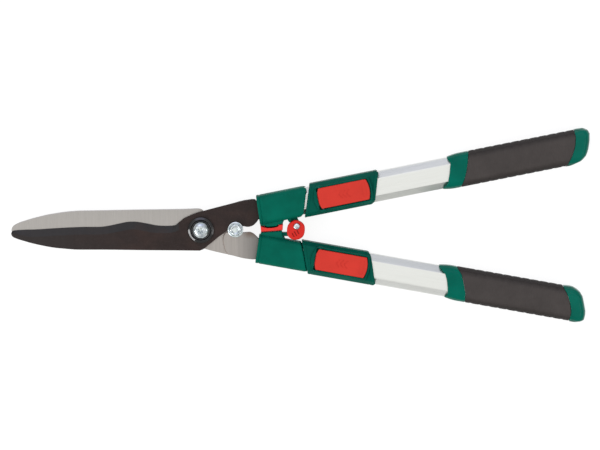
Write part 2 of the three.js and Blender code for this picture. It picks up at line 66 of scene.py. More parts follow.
# ---------------------------------------------------------------- mesh helpers (all in mm)
def make(name, verts, faces, mats, body, replaces=(), slot=None, sharp=38, index=None, weighted=True):
    me = bpy.data.meshes.new(name)
    me.from_pydata([tuple(np.asarray(v, float) * MM) for v in verts], [], [tuple(int(i) for i in f) for f in faces])
    me.validate()
    ob = bpy.data.objects.new(name, me)
    bpy.context.scene.collection.objects.link(ob)
    if index is not None:
        for m in mats:
            me.materials.append(m)
        me.polygons.foreach_set("material_index", np.asarray(index, np.int32))
    settle(ob, mats, body, replaces, slot, sharp, weighted, index is not None)
    return ob


def settle(ob, mats, body, replaces=(), slot=None, sharp=38, weighted=True, keep=False):
    me = ob.data
    bm = bmesh.new()
    bm.from_mesh(me)
    bmesh.ops.remove_doubles(bm, verts=bm.verts, dist=2e-7)
    bmesh.ops.recalc_face_normals(bm, faces=bm.faces)
    bm.to_mesh(me)
    bm.free()
    if not keep:
        me.materials.clear()
        for m in (mats if isinstance(mats, (list, tuple)) else [mats]):
            me.materials.append(m)
    for p in me.polygons:
        p.use_smooth = True
    me.set_sharp_from_angle(angle=math.radians(sharp))
    if weighted:
        w = ob.modifiers.new("normals", "WEIGHTED_NORMAL")
        w.keep_sharp = True
        w.weight = 80
    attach(ob, body)
    if replaces:
        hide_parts(*([replaces] if isinstance(replaces, str) else replaces))
    return ob


def temp(verts, faces):
    me = bpy.data.meshes.new("tool")
    me.from_pydata([tuple(np.asarray(v, float) * MM) for v in verts], [], [tuple(int(i) for i in f) for f in faces])
    ob = bpy.data.objects.new("tool", me)
    bpy.context.scene.collection.objects.link(ob)
    bm = bmesh.new()
    bm.from_mesh(me)
    bmesh.ops.remove_doubles(bm, verts=bm.verts, dist=1e-7)
    bmesh.ops.recalc_face_normals(bm, faces=bm.faces)
    bm.to_mesh(me)
    bm.free()
    return ob


def boolean(base, tools, op="DIFFERENCE"):
    for t in tools if isinstance(tools, (list, tuple)) else [tools]:
        m = base.modifiers.new("b", "BOOLEAN")
        m.operation, m.object, m.solver = op, t, "MANIFOLD"
        bpy.context.view_layer.update()
        dg = bpy.context.evaluated_depsgraph_get()
        me = bpy.data.meshes.new_from_object(base.evaluated_get(dg))
        base.modifiers.clear()
        old = base.data
        base.data = me
        bpy.data.meshes.remove(old)
        tm = t.data
        bpy.data.objects.remove(t)
        bpy.data.meshes.remove(tm)
    return base


def finish_named(ob, name, *a, **k):
    ob.name = name
    ob.data.name = name
    return settle(ob, *a, **k)


def rings(loops, cap0=True, cap1=True, closed=False):
    """Quads between successive loops of the same length, with flat or fanned ends."""
    n = len(loops[0])
    verts = [p for l in loops for p in l]
    faces = []
    m = len(loops)
    for i in range(m if closed else m - 1):
        a, b = i * n, ((i + 1) % m) * n
        for k in range(n):
            k2 = (k + 1) % n
            faces.append((a + k, a + k2, b + k2, b + k))
    if not closed:
        if cap0:
            faces.append(tuple(range(n - 1, -1, -1)))
        if cap1:
            faces.append(tuple(range((m - 1) * n, m * n)))
    return verts, faces


def area(loop):
    x, y = loop[:, 0], loop[:, 1]
    return 0.5 * np.sum(x * np.roll(y, -1) - np.roll(x, -1) * y)


def ccw(loop):
    loop = np.asarray(loop, float)
    return loop if area(loop) > 0 else loop[::-1].copy()


def rounded(points, radii, seg=6):
    """Polygon with arcs of the given radii at its corners."""
    P = ccw(points) if not np.isscalar(radii) else ccw(points)
    n = len(P)
    R = np.full(n, float(radii)) if np.isscalar(radii) else np.asarray(radii, float)
    if not np.isscalar(radii) and area(np.asarray(points, float)) < 0:
        R = R[::-1]
    out = []
    for i in range(n):
        a, b, c = P[i - 1], P[i], P[(i + 1) % n]
        d1, d2 = a - b, c - b
        l1, l2 = np.linalg.norm(d1), np.linalg.norm(d2)
        d1, d2 = d1 / l1, d2 / l2
        cosang = np.clip(d1 @ d2, -1, 1)
        half = math.acos(cosang) / 2
        if R[i] < 1e-6 or half > math.pi / 2 - 0.01:
            out.append(b)
            continue
        t = min(R[i] / math.tan(half), l1 * 0.48, l2 * 0.48)
        r = t * math.tan(half)
        centre = b + (d1 + d2) / np.linalg.norm(d1 + d2) * (r / math.sin(half))
        s, e = b + d1 * t - centre, b + d2 * t - centre
        a0, a1 = math.atan2(s[1], s[0]), math.atan2(e[1], e[0])
        da = (a1 - a0 + math.pi) % (2 * math.pi) - math.pi
        k = max(2, int(seg * abs(da) / (math.pi / 2) + 1))
        for j in range(k + 1):
            a = a0 + da * j / k
            out.append(centre + r * np.array([math.cos(a), math.sin(a)]))
    return np.array(out)


def dense(loop, step):
    """Extra points along a closed loop's long edges."""
    out = []
    n = len(loop)
    for i in range(n):
        a, b = loop[i], loop[(i + 1) % n]
        k = max(1, int(math.ceil(np.linalg.norm(b - a) / step)))
        out += [a + (b - a) * j / k for j in range(k)]
    return np.array(out)


def resample(loop, n, start=None):
    """n points evenly along a closed loop, beginning nearest to start."""
    L = np.vstack([loop, loop[:1]])
    d = np.r_[0, np.cumsum(np.linalg.norm(np.diff(L, axis=0), axis=1))]
    t = np.linspace(0, d[-1], n, endpoint=False)
    p = np.stack([np.interp(t, d, L[:, k]) for k in range(loop.shape[1])], 1)
    if start is not None:
        i = int(np.argmin(np.linalg.norm(p - np.asarray(start), axis=1)))
        p = np.roll(p, -i, axis=0)
    return p


def normals2(loop):
    a = np.roll(loop, 1, 0)
    b = np.roll(loop, -1, 0)
    e1, e2 = loop - a, b - loop
    n1 = np.stack([-e1[:, 1], e1[:, 0]], 1) / (np.linalg.norm(e1, axis=1)[:, None] + 1e-12)
    n2 = np.stack([-e2[:, 1], e2[:, 0]], 1) / (np.linalg.norm(e2, axis=1)[:, None] + 1e-12)
    n = n1 + n2
    l2 = np.sum(n * n, 1)[:, None]
    return 2 * n / np.maximum(l2, 0.6)


def inset(loop, d):
    """Counter-clockwise loop moved inwards by d (outwards when negative)."""
    return loop + normals2(loop) * d


def stack(loop, levels):
    """Rings of a plan outline: levels are (inset, z)."""
    return [np.c_[inset(loop, d) if abs(d) > 1e-9 else loop, np.full(len(loop), z)] for d, z in levels]


def rprism(loop, z0, z1, r0=0.0, r1=0.0, seg=4):
    """Plan outline pushed up, with round edges of radius r0 below and r1 above."""
    lv = []
    for k in range(seg + 1 if r0 > 0 else 1):
        a = (math.pi / 2) * k / seg if r0 > 0 else math.pi / 2
        lv.append((r0 * (1 - math.sin(a)), z0 + r0 * (1 - math.cos(a))))
    for k in range(seg + 1 if r1 > 0 else 1):
        a = (math.pi / 2) * k / seg if r1 > 0 else 0
        lv.append((r1 * (1 - math.cos(a)), z1 - r1 * (1 - math.sin(a))))
    return rings(stack(ccw(loop), lv))


def circle(r, c=(0, 0), n=48, turn=0.0):
    a = np.linspace(0, 2 * math.pi, n, endpoint=False) + turn
    return np.stack([c[0] + r * np.cos(a), c[1] + r * np.sin(a)], 1)


def lathe(profile, c=(0, 0), n=64):
    """Turned piece: profile is (radius, z); ends at radius 0 close to a point, others to each other."""
    prof = list(profile)
    verts, faces, idx = [], [], []
    for r, z in prof:
        if r < 1e-6:
            idx.append([len(verts)] * n)
            verts.append((c[0], c[1], z))
        else:
            idx.append(list(range(len(verts), len(verts) + n)))
            verts += [(x, y, z) for x, y in circle(r, c, n)]
    for i in range(len(prof) - 1):
        a, b = idx[i], idx[i + 1]
        for k in range(n):
            k2 = (k + 1) % n
            f = [a[k], a[k2], b[k2], b[k]]
            f = [v for j, v in enumerate(f) if v not in f[:j]]
            if len(f) > 2:
                faces.append(tuple(f))
    return verts, faces


def arc_profile(c, r, a0, a1, n=5):
    return [(c[0] + r * math.cos(math.radians(a0 + (a1 - a0) * k / n)), c[1] + r * math.sin(math.radians(a0 + (a1 - a0) * k / n)))
            for k in range(n + 1)]


def place(name, verts):
    """Handle coordinates (u, v, z) to the shears' frame."""
    v = np.asarray(verts, float)
    return np.c_[to_model(name, v[:, :2]), v[:, 2]]


def seg_dist(P, loops):
    best = np.full(len(P), 1e9)
    for L in loops:
        A, B = L, np.roll(L, -1, 0)
        for s in range(0, len(A), 200):
            a, b = A[s:s + 200], B[s:s + 200]
            ab = b - a
            t = np.einsum("nmk,mk->nm", P[:, None] - a[None], ab) / (np.sum(ab * ab, 1) + 1e-12)
            t = np.clip(t, 0, 1)
            q = a[None] + t[..., None] * ab[None]
            best = np.minimum(best, np.min(np.linalg.norm(P[:, None] - q, axis=2), 1))
    return best


def inside(P, loops):
    c = np.zeros(len(P), bool)
    for L in loops:
        A, B = L, np.roll(L, -1, 0)
        for a, b in zip(A, B):
            hit = (a[1] > P[:, 1]) != (b[1] > P[:, 1])
            if hit.any():
                x = a[0] + (P[hit, 1] - a[1]) * (b[0] - a[0]) / (b[1] - a[1])
                idx = np.where(hit)[0][P[hit, 0] < x]
                c[idx] = ~c[idx]
    return c


def sheet_mesh(loops, z_top, z_bot, step=2.0, offs=(0.12, 0.3, 0.6), features=(), extra=None):
    """Flat piece from a plan outline with holes: its top and bottom are height fields, so edges
    can be rounded and bevels ground in. z_top and z_bot take (points, distance to the outline)."""
    loops = [dense(np.asarray(l, float), step) for l in loops]
    pts, edges = [], []
    for l in loops:
        o = len(pts)
        pts += list(l)
        edges += [(o + k, o + (k + 1) % len(l)) for k in range(len(l))]
    for f in features:
        f = np.asarray(f, float)
        o = len(pts)
        pts += list(f)
        edges += [(o + k, o + k + 1) for k in range(len(f) - 1)]
    fixed = np.array(pts)
    add = []
    for l in loops:
        n = normals2(l)
        for d in offs:
            for s in (1, -1):
                q = l + s * n * d
                ok = inside(q, loops) & (seg_dist(q, loops) > 0.9 * d)
                add.append(q[ok])
    lo, hi = loops[0].min(0), loops[0].max(0)
    gx = np.arange(lo[0], hi[0], step)
    gy = np.arange(lo[1], hi[1], step * 0.866)
    G = np.array([(x + (step / 2 if j % 2 else 0), y) for j, y in enumerate(gy) for x in gx])
    G = G[inside(G, loops)]
    G = G[seg_dist(G, loops) > offs[-1] + step * 0.35]
    add.append(G)
    if extra is not None:
        add.append(np.asarray(extra, float))
    add = np.vstack(add)
    if len(features):
        # keep free points off the feature lines
        fl = [np.asarray(f, float) for f in features]
        keep = np.ones(len(add), bool)
        for f in fl:
            for a, b in zip(f[:-1], f[1:]):
                ab = b - a
                t = np.clip(((add - a) @ ab) / (ab @ ab + 1e-12), 0, 1)
                keep &= np.linalg.norm(add - (a + t[:, None] * ab), axis=1) > 0.09
        add = add[keep]
    allp = [Vector(p) for p in fixed] + [Vector(p) for p in add]
    v2, _, tri, _, _, _ = delaunay_2d_cdt(allp, edges, [], 0, 1e-5)
    V = np.array([tuple(v) for v in v2])
    T = np.array([f for f in tri if len(f) == 3])
    cen = V[T].mean(1)
    T = T[inside(cen, loops)]
    e1, e2 = V[T[:, 1]] - V[T[:, 0]], V[T[:, 2]] - V[T[:, 0]]
    flip = (e1[:, 0] * e2[:, 1] - e1[:, 1] * e2[:, 0]) < 0
    T[flip] = T[flip][:, ::-1]
    used = np.unique(T)
    remap = -np.ones(len(V), int)
    remap[used] = np.arange(len(used))
    V, T = V[used], remap[T]
    d = seg_dist(V, loops)
    zt, zb = z_top(V, d), z_bot(V, d)
    n = len(V)
    verts = np.vstack([np.c_[V, zt], np.c_[V, zb]])
    faces = [tuple(t) for t in T] + [tuple(t[::-1] + n) for t in T]
    seen = {}
    for t in T:
        for a, b in ((t[0], t[1]), (t[1], t[2]), (t[2], t[0])):
            if (b, a) in seen:
                del seen[(b, a)]
            else:
                seen[(a, b)] = True
    faces += [(b, a, a + n, b + n) for a, b in seen]
    return verts, faces, len(T)


def edge_round(d, r):
    """Drop from a flat face at distance d from its outline, for a round edge of radius r."""
    q = np.clip(d, 0, r)
    return r - np.sqrt(np.maximum(r * r - (r - q) ** 2, 0))


def spline(P, n=8, closed=False):
    """Catmull-Rom curve through the points."""
    P = np.asarray(P, float)
    m = len(P)
    out = []
    for i in range(m if closed else m - 1):
        p0 = P[(i - 1) % m] if closed or i > 0 else 2 * P[0] - P[1]
        p1, p2 = P[i], P[(i + 1) % m]
        p3 = P[(i + 2) % m] if closed or i + 2 < m else 2 * P[-1] - P[-2]
        for k in range(n):
            t = k / n
            out.append(0.5 * ((2 * p1) + (p2 - p0) * t + (2 * p0 - 5 * p1 + 4 * p2 - p3) * t * t
                              + (3 * p1 - p0 - 3 * p2 + p3) * t ** 3))
    if not closed:
        out.append(P[-1])
    return np.array(out)


# ---------------------------------------------------------------- materials
class Mat:
    """A small writer for procedural node materials."""

    def __init__(self, name):
        self.m = bpy.data.materials.new(name)
        self.m.use_nodes = True
        self.t = self.m.node_tree
        self.b = self.t.nodes["Principled BSDF"]
        self.tc = self.t.nodes.new("ShaderNodeTexCoord")

    def n(self, kind, **sockets):
        node = self.t.nodes.new(kind)
        for k, v in sockets.items():
            self.set(node, k, v)
        return node

    def set(self, node, key, v):
        s = node.inputs[int(key[1:])] if key[0] == "i" and key[1:].isdigit() else node.inputs[key.replace("_", " ")]
        if isinstance(v, bpy.types.NodeSocket):
            self.t.links.new(v, s)
        else:
            s.default_value = v

    def coords(self, scale=(1, 1, 1), turn=0.0, loc=(0, 0, 0)):
        mp = self.t.nodes.new("ShaderNodeMapping")
        mp.vector_type = "POINT"
        mp.inputs["Rotation"].default_value = (0, 0, turn)
        mp.inputs["Location"].default_value = loc
        self.t.links.new(self.tc.outputs["Object"], mp.inputs["Vector"])
        sc = self.t.nodes.new("ShaderNodeVectorMath")
        sc.operation = "MULTIPLY"
        sc.inputs[1].default_value = scale
        self.t.links.new(mp.outputs[0], sc.inputs[0])
        return sc.outputs[0]

    def noise(self, vec, scale=1.0, detail=2.0, rough=0.5, distortion=0.0):
        x = self.n("ShaderNodeTexNoise", Vector=vec, Scale=scale, Detail=detail, Roughness=rough, Distortion=distortion)
        return x.outputs["Fac"]

    def ramp(self, fac, stops):
        r = self.t.nodes.new("ShaderNodeValToRGB")
        e = r.color_ramp.elements
        while len(e) < len(stops):
            e.new(0.5)
        for el, (p, c) in zip(e, stops):
            el.position = p
            el.color = c if len(c) == 4 else (*c, 1)
        self.t.links.new(fac, r.inputs[0])
        return r.outputs["Color"]

    def val(self, fac, lo, hi, a=0.0, b=1.0):
        mr = self.t.nodes.new("ShaderNodeMapRange")
        for k, v in (("From Min", lo), ("From Max", hi), ("To Min", a), ("To Max", b)):
            mr.inputs[k].default_value = v
        self.t.links.new(fac, mr.inputs["Value"])
        return mr.outputs["Result"]

    def math(self, op, a, b=None):
        x = self.t.nodes.new("ShaderNodeMath")
        x.operation = op
        for s, v in zip(x.inputs, (a, b)):
            if v is None:
                continue
            if isinstance(v, bpy.types.NodeSocket):
                self.t.links.new(v, s)
            else:
                s.default_value = v
        return x.outputs[0]

    def mix(self, fac, a, b, mode="MIX"):
        x = self.t.nodes.new("ShaderNodeMix")
        x.data_type, x.blend_type = "RGBA", mode
        for s, v in ((x.inputs[0], fac), (x.inputs[6], a), (x.inputs[7], b)):
            if isinstance(v, bpy.types.NodeSocket):
                self.t.links.new(v, s)
            else:
                s.default_value = v if not isinstance(v, tuple) or len(v) == 4 else (*v, 1)
        return x.outputs[2]

    def sep(self, vec):
        x = self.t.nodes.new("ShaderNodeSeparateXYZ")
        self.t.links.new(vec, x.inputs[0])
        return x.outputs

    def bump(self, height, dist, strength=1.0, normal=None):
        x = self.n("ShaderNodeBump", Height=height, Distance=dist, Strength=strength)
        if normal is not None:
            self.t.links.new(normal, x.inputs["Normal"])
        return x.outputs[0]

    def out(self, **sockets):
        for k, v in sockets.items():
            self.set(self.b, k, v)
        return self.m


def srgb(r, g, b):
    f = lambda c: c / 12.92 if c <= 0.04045 else ((c + 0.055) / 1.055) ** 2.4
    return (f(r / 255), f(g / 255), f(b / 255), 1.0)


def scaled(c, k):
    return (min(1, c[0] * k), min(1, c[1] * k), min(1, c[2] * k), 1.0)


def moulded(name, col, rough=0.36, coat=0.25, grain=0.00006, grain_size=1500, mottle=0.06, sheen_dirt=0.08, spec=0.5):
    """Injection moulded plastic: fine spark grain, slight colour mottle, uneven gloss."""
    m = Mat(name)
    co = m.coords()
    big = m.noise(co, 38, 3, 0.55)
    mid = m.noise(co, 240, 2, 0.5)
    fine = m.noise(co, grain_size, 2, 0.6)
    base = m.mix(m.val(big, 0.3, 0.7, 0, 1), scaled(col, 1 - mottle), scaled(col, 1 + mottle))
    base = m.mix(m.val(fine, 0.35, 0.7, 0, 0.10), base, scaled(col, 0.72))
    r = m.math("ADD", m.val(mid, 0.3, 0.7, rough - sheen_dirt / 2, rough + sheen_dirt / 2), m.val(fine, 0.3, 0.7, -0.03, 0.03))
    nrm = m.bump(fine, grain, 0.55, m.bump(big, 0.0003, 0.12))
    return m.out(Base_Color=base, Roughness=r, Normal=nrm, Coat_Weight=coat, Coat_Roughness=0.22, Specular_IOR_Level=spec)


GREEN = moulded("green_plastic", srgb(0, 94, 77), 0.4, 0.0, spec=0.045, mottle=0.16)
GREEN_GLOSS = moulded("green_plastic_polished", srgb(0, 97, 81), 0.22, 0.0, spec=0.05, mottle=0.15)
GREEN_CAP = moulded("green_plastic_cap", srgb(0, 97, 81), 0.2, 0.0, spec=0.08, mottle=0.14)
GREEN_DARK = moulded("green_plastic_housing", srgb(0, 81, 67), 0.38, 0.0, spec=0.05, mottle=0.15)
PIN_STEEL = moulded("burnished_pin", srgb(24, 44, 38), 0.5, 0.4, grain=0.00001, mottle=0.1, spec=0.3)
RED = moulded("red_plastic", srgb(207, 54, 42), 0.45, 0.0, mottle=0.05, spec=0.15)
RED_KNOB = moulded("red_knob_plastic", srgb(207, 34, 24), 0.36, 0.0, mottle=0.04, spec=0.22)
SOFT_RED = moulded("soft_red", srgb(226, 58, 50), 0.5, 0.0, grain=0.00005, grain_size=2100, mottle=0.05, spec=0.15)
GREY = moulded("grey_plastic", srgb(118, 120, 120), 0.45, 0.0, spec=0.3)
PLASTIC_BLACK = moulded("pivot_cup_black", srgb(10, 9, 11), 0.13, 0.0, grain=0.000004, mottle=0.04, spec=0.6)


def coated(name, col, rough, speck):
    """Blade steel under a thin non-stick coating: faint orange peel, fine pale specks, wiped gloss."""
    m = Mat(name)
    co = m.coords()
    peel = m.noise(co, 900, 2, 0.5)
    cloud = m.noise(m.coords((22, 60, 60)), 1, 3, 0.6)
    vor = m.n("ShaderNodeTexNoise", Vector=co, Scale=2600, Detail=1.0, Roughness=0.4).outputs["Fac"]
    base = m.mix(m.val(cloud, 0.32, 0.68), scaled(col, 0.86), scaled(col, 1.14))
    x = m.sep(m.tc.outputs["Object"])[0]
    streak = m.noise(m.coords((150, 6, 6)), 1.0, 2, 0.5)
    base = m.mix(m.val(x, -0.07, -0.20, 0, 0.75), base, srgb(49, 46, 45))
    base = m.mix(m.val(streak, 0.35, 0.7, 0, 0.28), base, scaled(col, 0.72))
    patch = m.noise(m.coords((34, 52, 52), loc=(0.2, 0.4, 0)), 1.0, 4, 0.6)
    brown = m.math("MULTIPLY", m.val(patch, 0.46, 0.66, 0, 0.4), m.val(x, -0.17, -0.08))
    base = m.mix(brown, base, srgb(60, 44, 39))
    base = m.mix(m.val(vor, 0.62, 0.8, 0, speck), base, srgb(120, 112, 108))
    r = m.math("ADD", m.val(cloud, 0.3, 0.7, rough - 0.05, rough + 0.05), m.val(peel, 0.3, 0.7, -0.04, 0.04))
    return m.out(Base_Color=base, Roughness=r, Normal=m.bump(peel, 0.00004, 0.5), Specular_IOR_Level=0.16)


BLACK = coated("black_coated_steel", srgb(43, 33, 31), 0.42, 0.3)
BEVEL = coated("black_bevel", srgb(42, 41, 41), 0.34, 0.2)


def brushed(name, col, along, density, rough, turn=0.0, fog=0.05, streak=0.1, metal=1.0, bump=0.00002, shade=None, line=0.55):
    """Ground or drawn metal. along: direction that the lines run in the turned frame, 0 for x and 1 for y."""
    m = Mat(name)
    s = [density, density, density]
    s[along] = density * 0.018
    lines = m.noise(m.coords(tuple(s), turn), 1.0, 3, 0.65)
    s2 = [density * 0.16, density * 0.16, density * 0.16]
    s2[along] = density * 0.006
    wide = m.noise(m.coords(tuple(s2), turn), 1.0, 2, 0.5)
    cloud = m.noise(m.coords((30, 30, 30)), 1.0, 3, 0.55)
    base = m.mix(m.val(wide, 0.3, 0.7), scaled(col, 1 - streak), scaled(col, 1 + streak))
    base = m.mix(m.val(lines, 0.3, 0.72, 0, line), base, scaled(col, 0.78))
    base = m.mix(m.val(cloud, 0.35, 0.7, 0, fog), base, scaled(col, 0.6))
    if shade is not None:
        base = shade(m, base)
    r = m.math("ADD", m.val(lines, 0.3, 0.7, rough - 0.06, rough + 0.07), m.val(wide, 0.3, 0.7, -0.03, 0.04))
    return m.out(Base_Color=base, Metallic=metal, Roughness=r, Normal=m.bump(lines, bump, 0.5))


def blade_shade(m, base):
    """Ground blade: slow bands along its length, a little darker along the spine."""
    y = m.sep(m.tc.outputs["Object"])[1]
    n_ = m.noise(m.coords((70, 3, 3)), 1.0, 2, 0.5)
    base = m.mix(m.val(n_, 0.35, 0.65, 0, 0.14), base, scaled(srgb(204, 199, 194), 0.70))
    return m.mix(m.val(y, 0.013, 0.026, 0, 0.4), base, scaled(srgb(200, 196, 192), 0.66))


STEEL = brushed("ground_steel", srgb(176, 172, 168), 1, 3400, 0.34, streak=0.035, shade=blade_shade)


def tang_painted_shade(m, base):
    """The tang is painted darker towards its socket, as painted shade from the socket, in soft upright bands; its
    lobe's top goes darker and browner.
    """
    x = m.sep(m.tc.outputs["Object"])[0]
    n_ = m.noise(m.coords((260, 4, 4)), 1.0, 2, 0.5)
    base = m.mix(m.val(n_, 0.35, 0.65, 0, 0.35), base, scaled(srgb(196, 190, 186), 0.62))
    # painted shade: darker with x towards the socket
    base = m.mix(m.val(x, 0.040, 0.064, 0, 0.85), base, scaled(srgb(190, 186, 182), 0.36))
    lobe = m.math("MULTIPLY", m.val(m.sep(m.tc.outputs["Object"])[1], -0.011, -0.005), m.val(x, 0.049, 0.056))
    return m.mix(m.math("MULTIPLY", lobe, 0.75), base, scaled(srgb(150, 128, 112), 0.5))


# tang steel that carries the painted shade towards its socket
TANG = brushed("ground_steel_tang", srgb(173, 167, 162), 1, 2200, 0.38, streak=0.10, shade=tang_painted_shade)

# darker, browner steel for a band along the tang plate's curved edge: painted shade of the plate's rounded edge where
# it steps down to the blade
PAINTED_RIM_SHADE = brushed("ground_steel_painted_rim_shade", srgb(128, 112, 104), 1, 2200, 0.45, streak=0.10)
GRIND = brushed("ground_steel_bevel", srgb(205, 204, 200), 1, 3000, 0.26, streak=0.06)


def plated(name, col):
    """Bright zinc plate: faint yellow and blue passivation clouds, small dull spangles."""
    m = Mat(name)
    a = m.noise(m.coords(), 190, 2, 0.5)
    b = m.noise(m.coords(loc=(0.3, 0.1, 0)), 420, 2, 0.5)
    fine = m.noise(m.coords(), 2400, 2, 0.5)
    base = m.mix(m.val(a, 0.4, 0.62), col, scaled(srgb(206, 216, 226), 0.66))
    base = m.mix(m.val(b, 0.5, 0.64, 0, 0.4), base, srgb(196, 214, 206))
    r = m.math("ADD", m.val(a, 0.35, 0.65, 0.2, 0.3), m.val(fine, 0.3, 0.7, -0.03, 0.04))
    return m.out(Base_Color=base, Metallic=1.0, Roughness=r, Normal=m.bump(b, 0.00002, 0.25, m.bump(fine, 0.000005, 0.3)))


ZINC = plated("zinc", srgb(218, 224, 226))
ALU = {}
for _n, _s in SIDE.items():
    _a = -math.atan2(AXIS[_n][1], AXIS[_n][0])
    ALU[_n] = brushed(f"aluminium_{_n}", srgb(229, 230, 226), 0, 1900, 0.33, turn=_a, streak=0.015, fog=0.015, bump=0.000006, line=0.22)


def rubber(name, turn):
    """Soft grip skin: fine crosswise texture, pale fine specks, and painted shade that darkens the flanks, so the top
    and bottom faces read lighter.
    """
    m = Mat(name)
    col = srgb(69, 64, 62)
    cross = m.noise(m.coords((1500, 170, 300), turn), 1.0, 2, 0.6)
    fine = m.noise(m.coords(), 1900, 2, 0.6)
    cloud = m.noise(m.coords(), 34, 3, 0.6)
    base = m.mix(m.val(cloud, 0.3, 0.7), scaled(col, 0.88), scaled(col, 1.12))
    # painted shade: the flanks, between the top and bottom faces, are darkened by height
    up = m.math("ABSOLUTE", m.math("SUBTRACT", m.sep(m.tc.outputs["Object"])[2], 0.015))
    base = m.mix(m.val(up, 0.0146, 0.0118, 0, 0.8), base, scaled(col, 0.36))
    base = m.mix(m.val(cross, 0.4, 0.75, 0, 0.35), base, scaled(col, 0.66))
    base = m.mix(m.val(fine, 0.55, 0.8, 0, 0.22), base, scaled(col, 1.6))
    r = m.val(m.math("ADD", cross, fine), 0.6, 1.4, 0.62, 0.8)
    nrm = m.bump(fine, 0.00006, 0.5, m.bump(cross, 0.0001, 0.6))
    return m.out(Base_Color=base, Roughness=r, Normal=nrm, Specular_IOR_Level=0.15)


RUBBER = {n: rubber(f"grip_rubber_{n}", -math.atan2(AXIS[n][1], AXIS[n][0])) for n in SIDE}


# ---------------------------------------------------------------- shared sizes (mm)
MID = 15.0
LOW, HIGH = (11.35, 14.85), (15.15, 18.65)
STOP, KNOB = np.array([41.4, 0.1]), np.array([114.1, 4.07])
TUBE = dict(w=35.6, t=21.6, flat=20.0, wall=1.75, rise=0.86)
INNER = dict(w=31.4, t=17.4, flat=18.26, wall=1.4)

WAVE = [[-225.3, -0.9], [-224.7, 1.2], [-220, 1.8], [-210.4, 2.3], [-196.2, 2.5], [-177.1, 3.5], [-158.1, 4.4],
        [-139, 4.9], [-120, 4.8], [-110.4, 5.9], [-100.9, 7.7], [-91.4, 9.7], [-86.6, 10.4], [-81.8, 10.6], [-77.1, 10.4],
        [-72.3, 9.8], [-62.8, 8], [-53.3, 6], [-43.8, 5.2], [-34.3, 5.3], [-29.5, 6.2]]
NECK = [[-24.7, 10.2], [-19.9, 14], [-15.1, 16.3], [-10.3, 18.4], [-0.8, 21.6], [13.5, 25.3], [27.9, 28.9],
        [42.2, 32.2], [49.3, 33.8], [61, 35.5]]
BACK = [[-224.8, -5.4], [-220.1, -7.8], [-210.6, -10.9], [-201.1, -13.7], [-191.6, -16], [-182.1, -18], [-172.6, -19.6],
        [-163.1, -20.6], [-153.6, -21.5], [-144.1, -22], [-110.7, -22.4], [-67.9, -23.4], [-34.6, -24], [-1.6, -24.7],
        [3.6, -22.5], [8.3, -18.5], [13.8, -14.4], [19.7, -9.4], [26.7, -4.5], [31.1, -1.2]]
LOBE = [[51, 4], [54.8, 3.2], [58.6, 3.4], [62.5, 5], [66.3, 8.4], [68.6, 11.8]]
TONGUE = [[121.6, -10.9], [153, -10.9], [153, 11], [122.7, 11.7]]
S_NECK = [[-24.7, 10.2], [-19.9, 14], [-15.1, 16.3], [-10.3, 18.4], [-0.8, 21.6], [3.9, 22.8], [12.8, 25.3], [26.4, 28.7],
          [37.7, 31], [46.4, 33.4], [52.2, 34.7], [61.3, 35.9]]
S_BACK = [[-225.4, 1.9], [-225.0, 4.0], [-223.4, 6.6], [-220.2, 8.9], [-215.4, 11.1], [-210.3, 12.7], [-200.8, 15.5], [-191.2, 17.9], [-181.7, 20], [-172.2, 21.5],
          [-162.6, 22.9], [-153.1, 23.7], [-143.6, 24.2], [-115, 24.4], [-81.7, 24.7], [-48.3, 24.8], [-19.8, 25.0],
          [-6.0, 25.4], [-1.6, 25.2], [1.4, 24.2], [3.9, 22.3], [8.3, 18.5], [13.8, 14.4], [19.7, 9.4], [26.7, 4.5], [31.1, 1.2]]


def polyline_distance(P, line):
    best = np.full(len(P), 1e9)
    for a, b in zip(line[:-1], line[1:]):
        ab = b - a
        t = np.clip(((P - a) @ ab) / (ab @ ab + 1e-12), 0, 1)
        best = np.minimum(best, np.linalg.norm(P - (a + t[:, None] * ab), axis=1))
    return best


def arc_pts(c, r, a0, a1, n):
    a = np.radians(np.linspace(a0, a1, n + 1))
    return np.stack([c[0] + r * np.cos(a), c[1] + r * np.sin(a)], 1)


# ---------------------------------------------------------------- blades
EDGE = spline(WAVE[1:], 6)
GRIND_W = 9.2


def grind_width(x):
    w = np.interp(x, [-225, -219, -205, -60, -34, -27], [2.6, 4.6, GRIND_W - 0.8, GRIND_W, GRIND_W - 1.2, 6.5])
    return w


def grind_fade(x):
    f = np.clip((-25.5 - x) / 9.0, 0, 1)
    return f * f * (3 - 2 * f)


def ridge_of(edge, sign):
    n = np.gradient(edge, axis=0)
    n = np.stack([-n[:, 1], n[:, 0]], 1) / np.linalg.norm(n, axis=1)[:, None] * sign
    r = edge + n * grind_width(edge[:, 0])[:, None]
    return r[(edge[:, 0] > -219) & (edge[:, 0] < -30)]


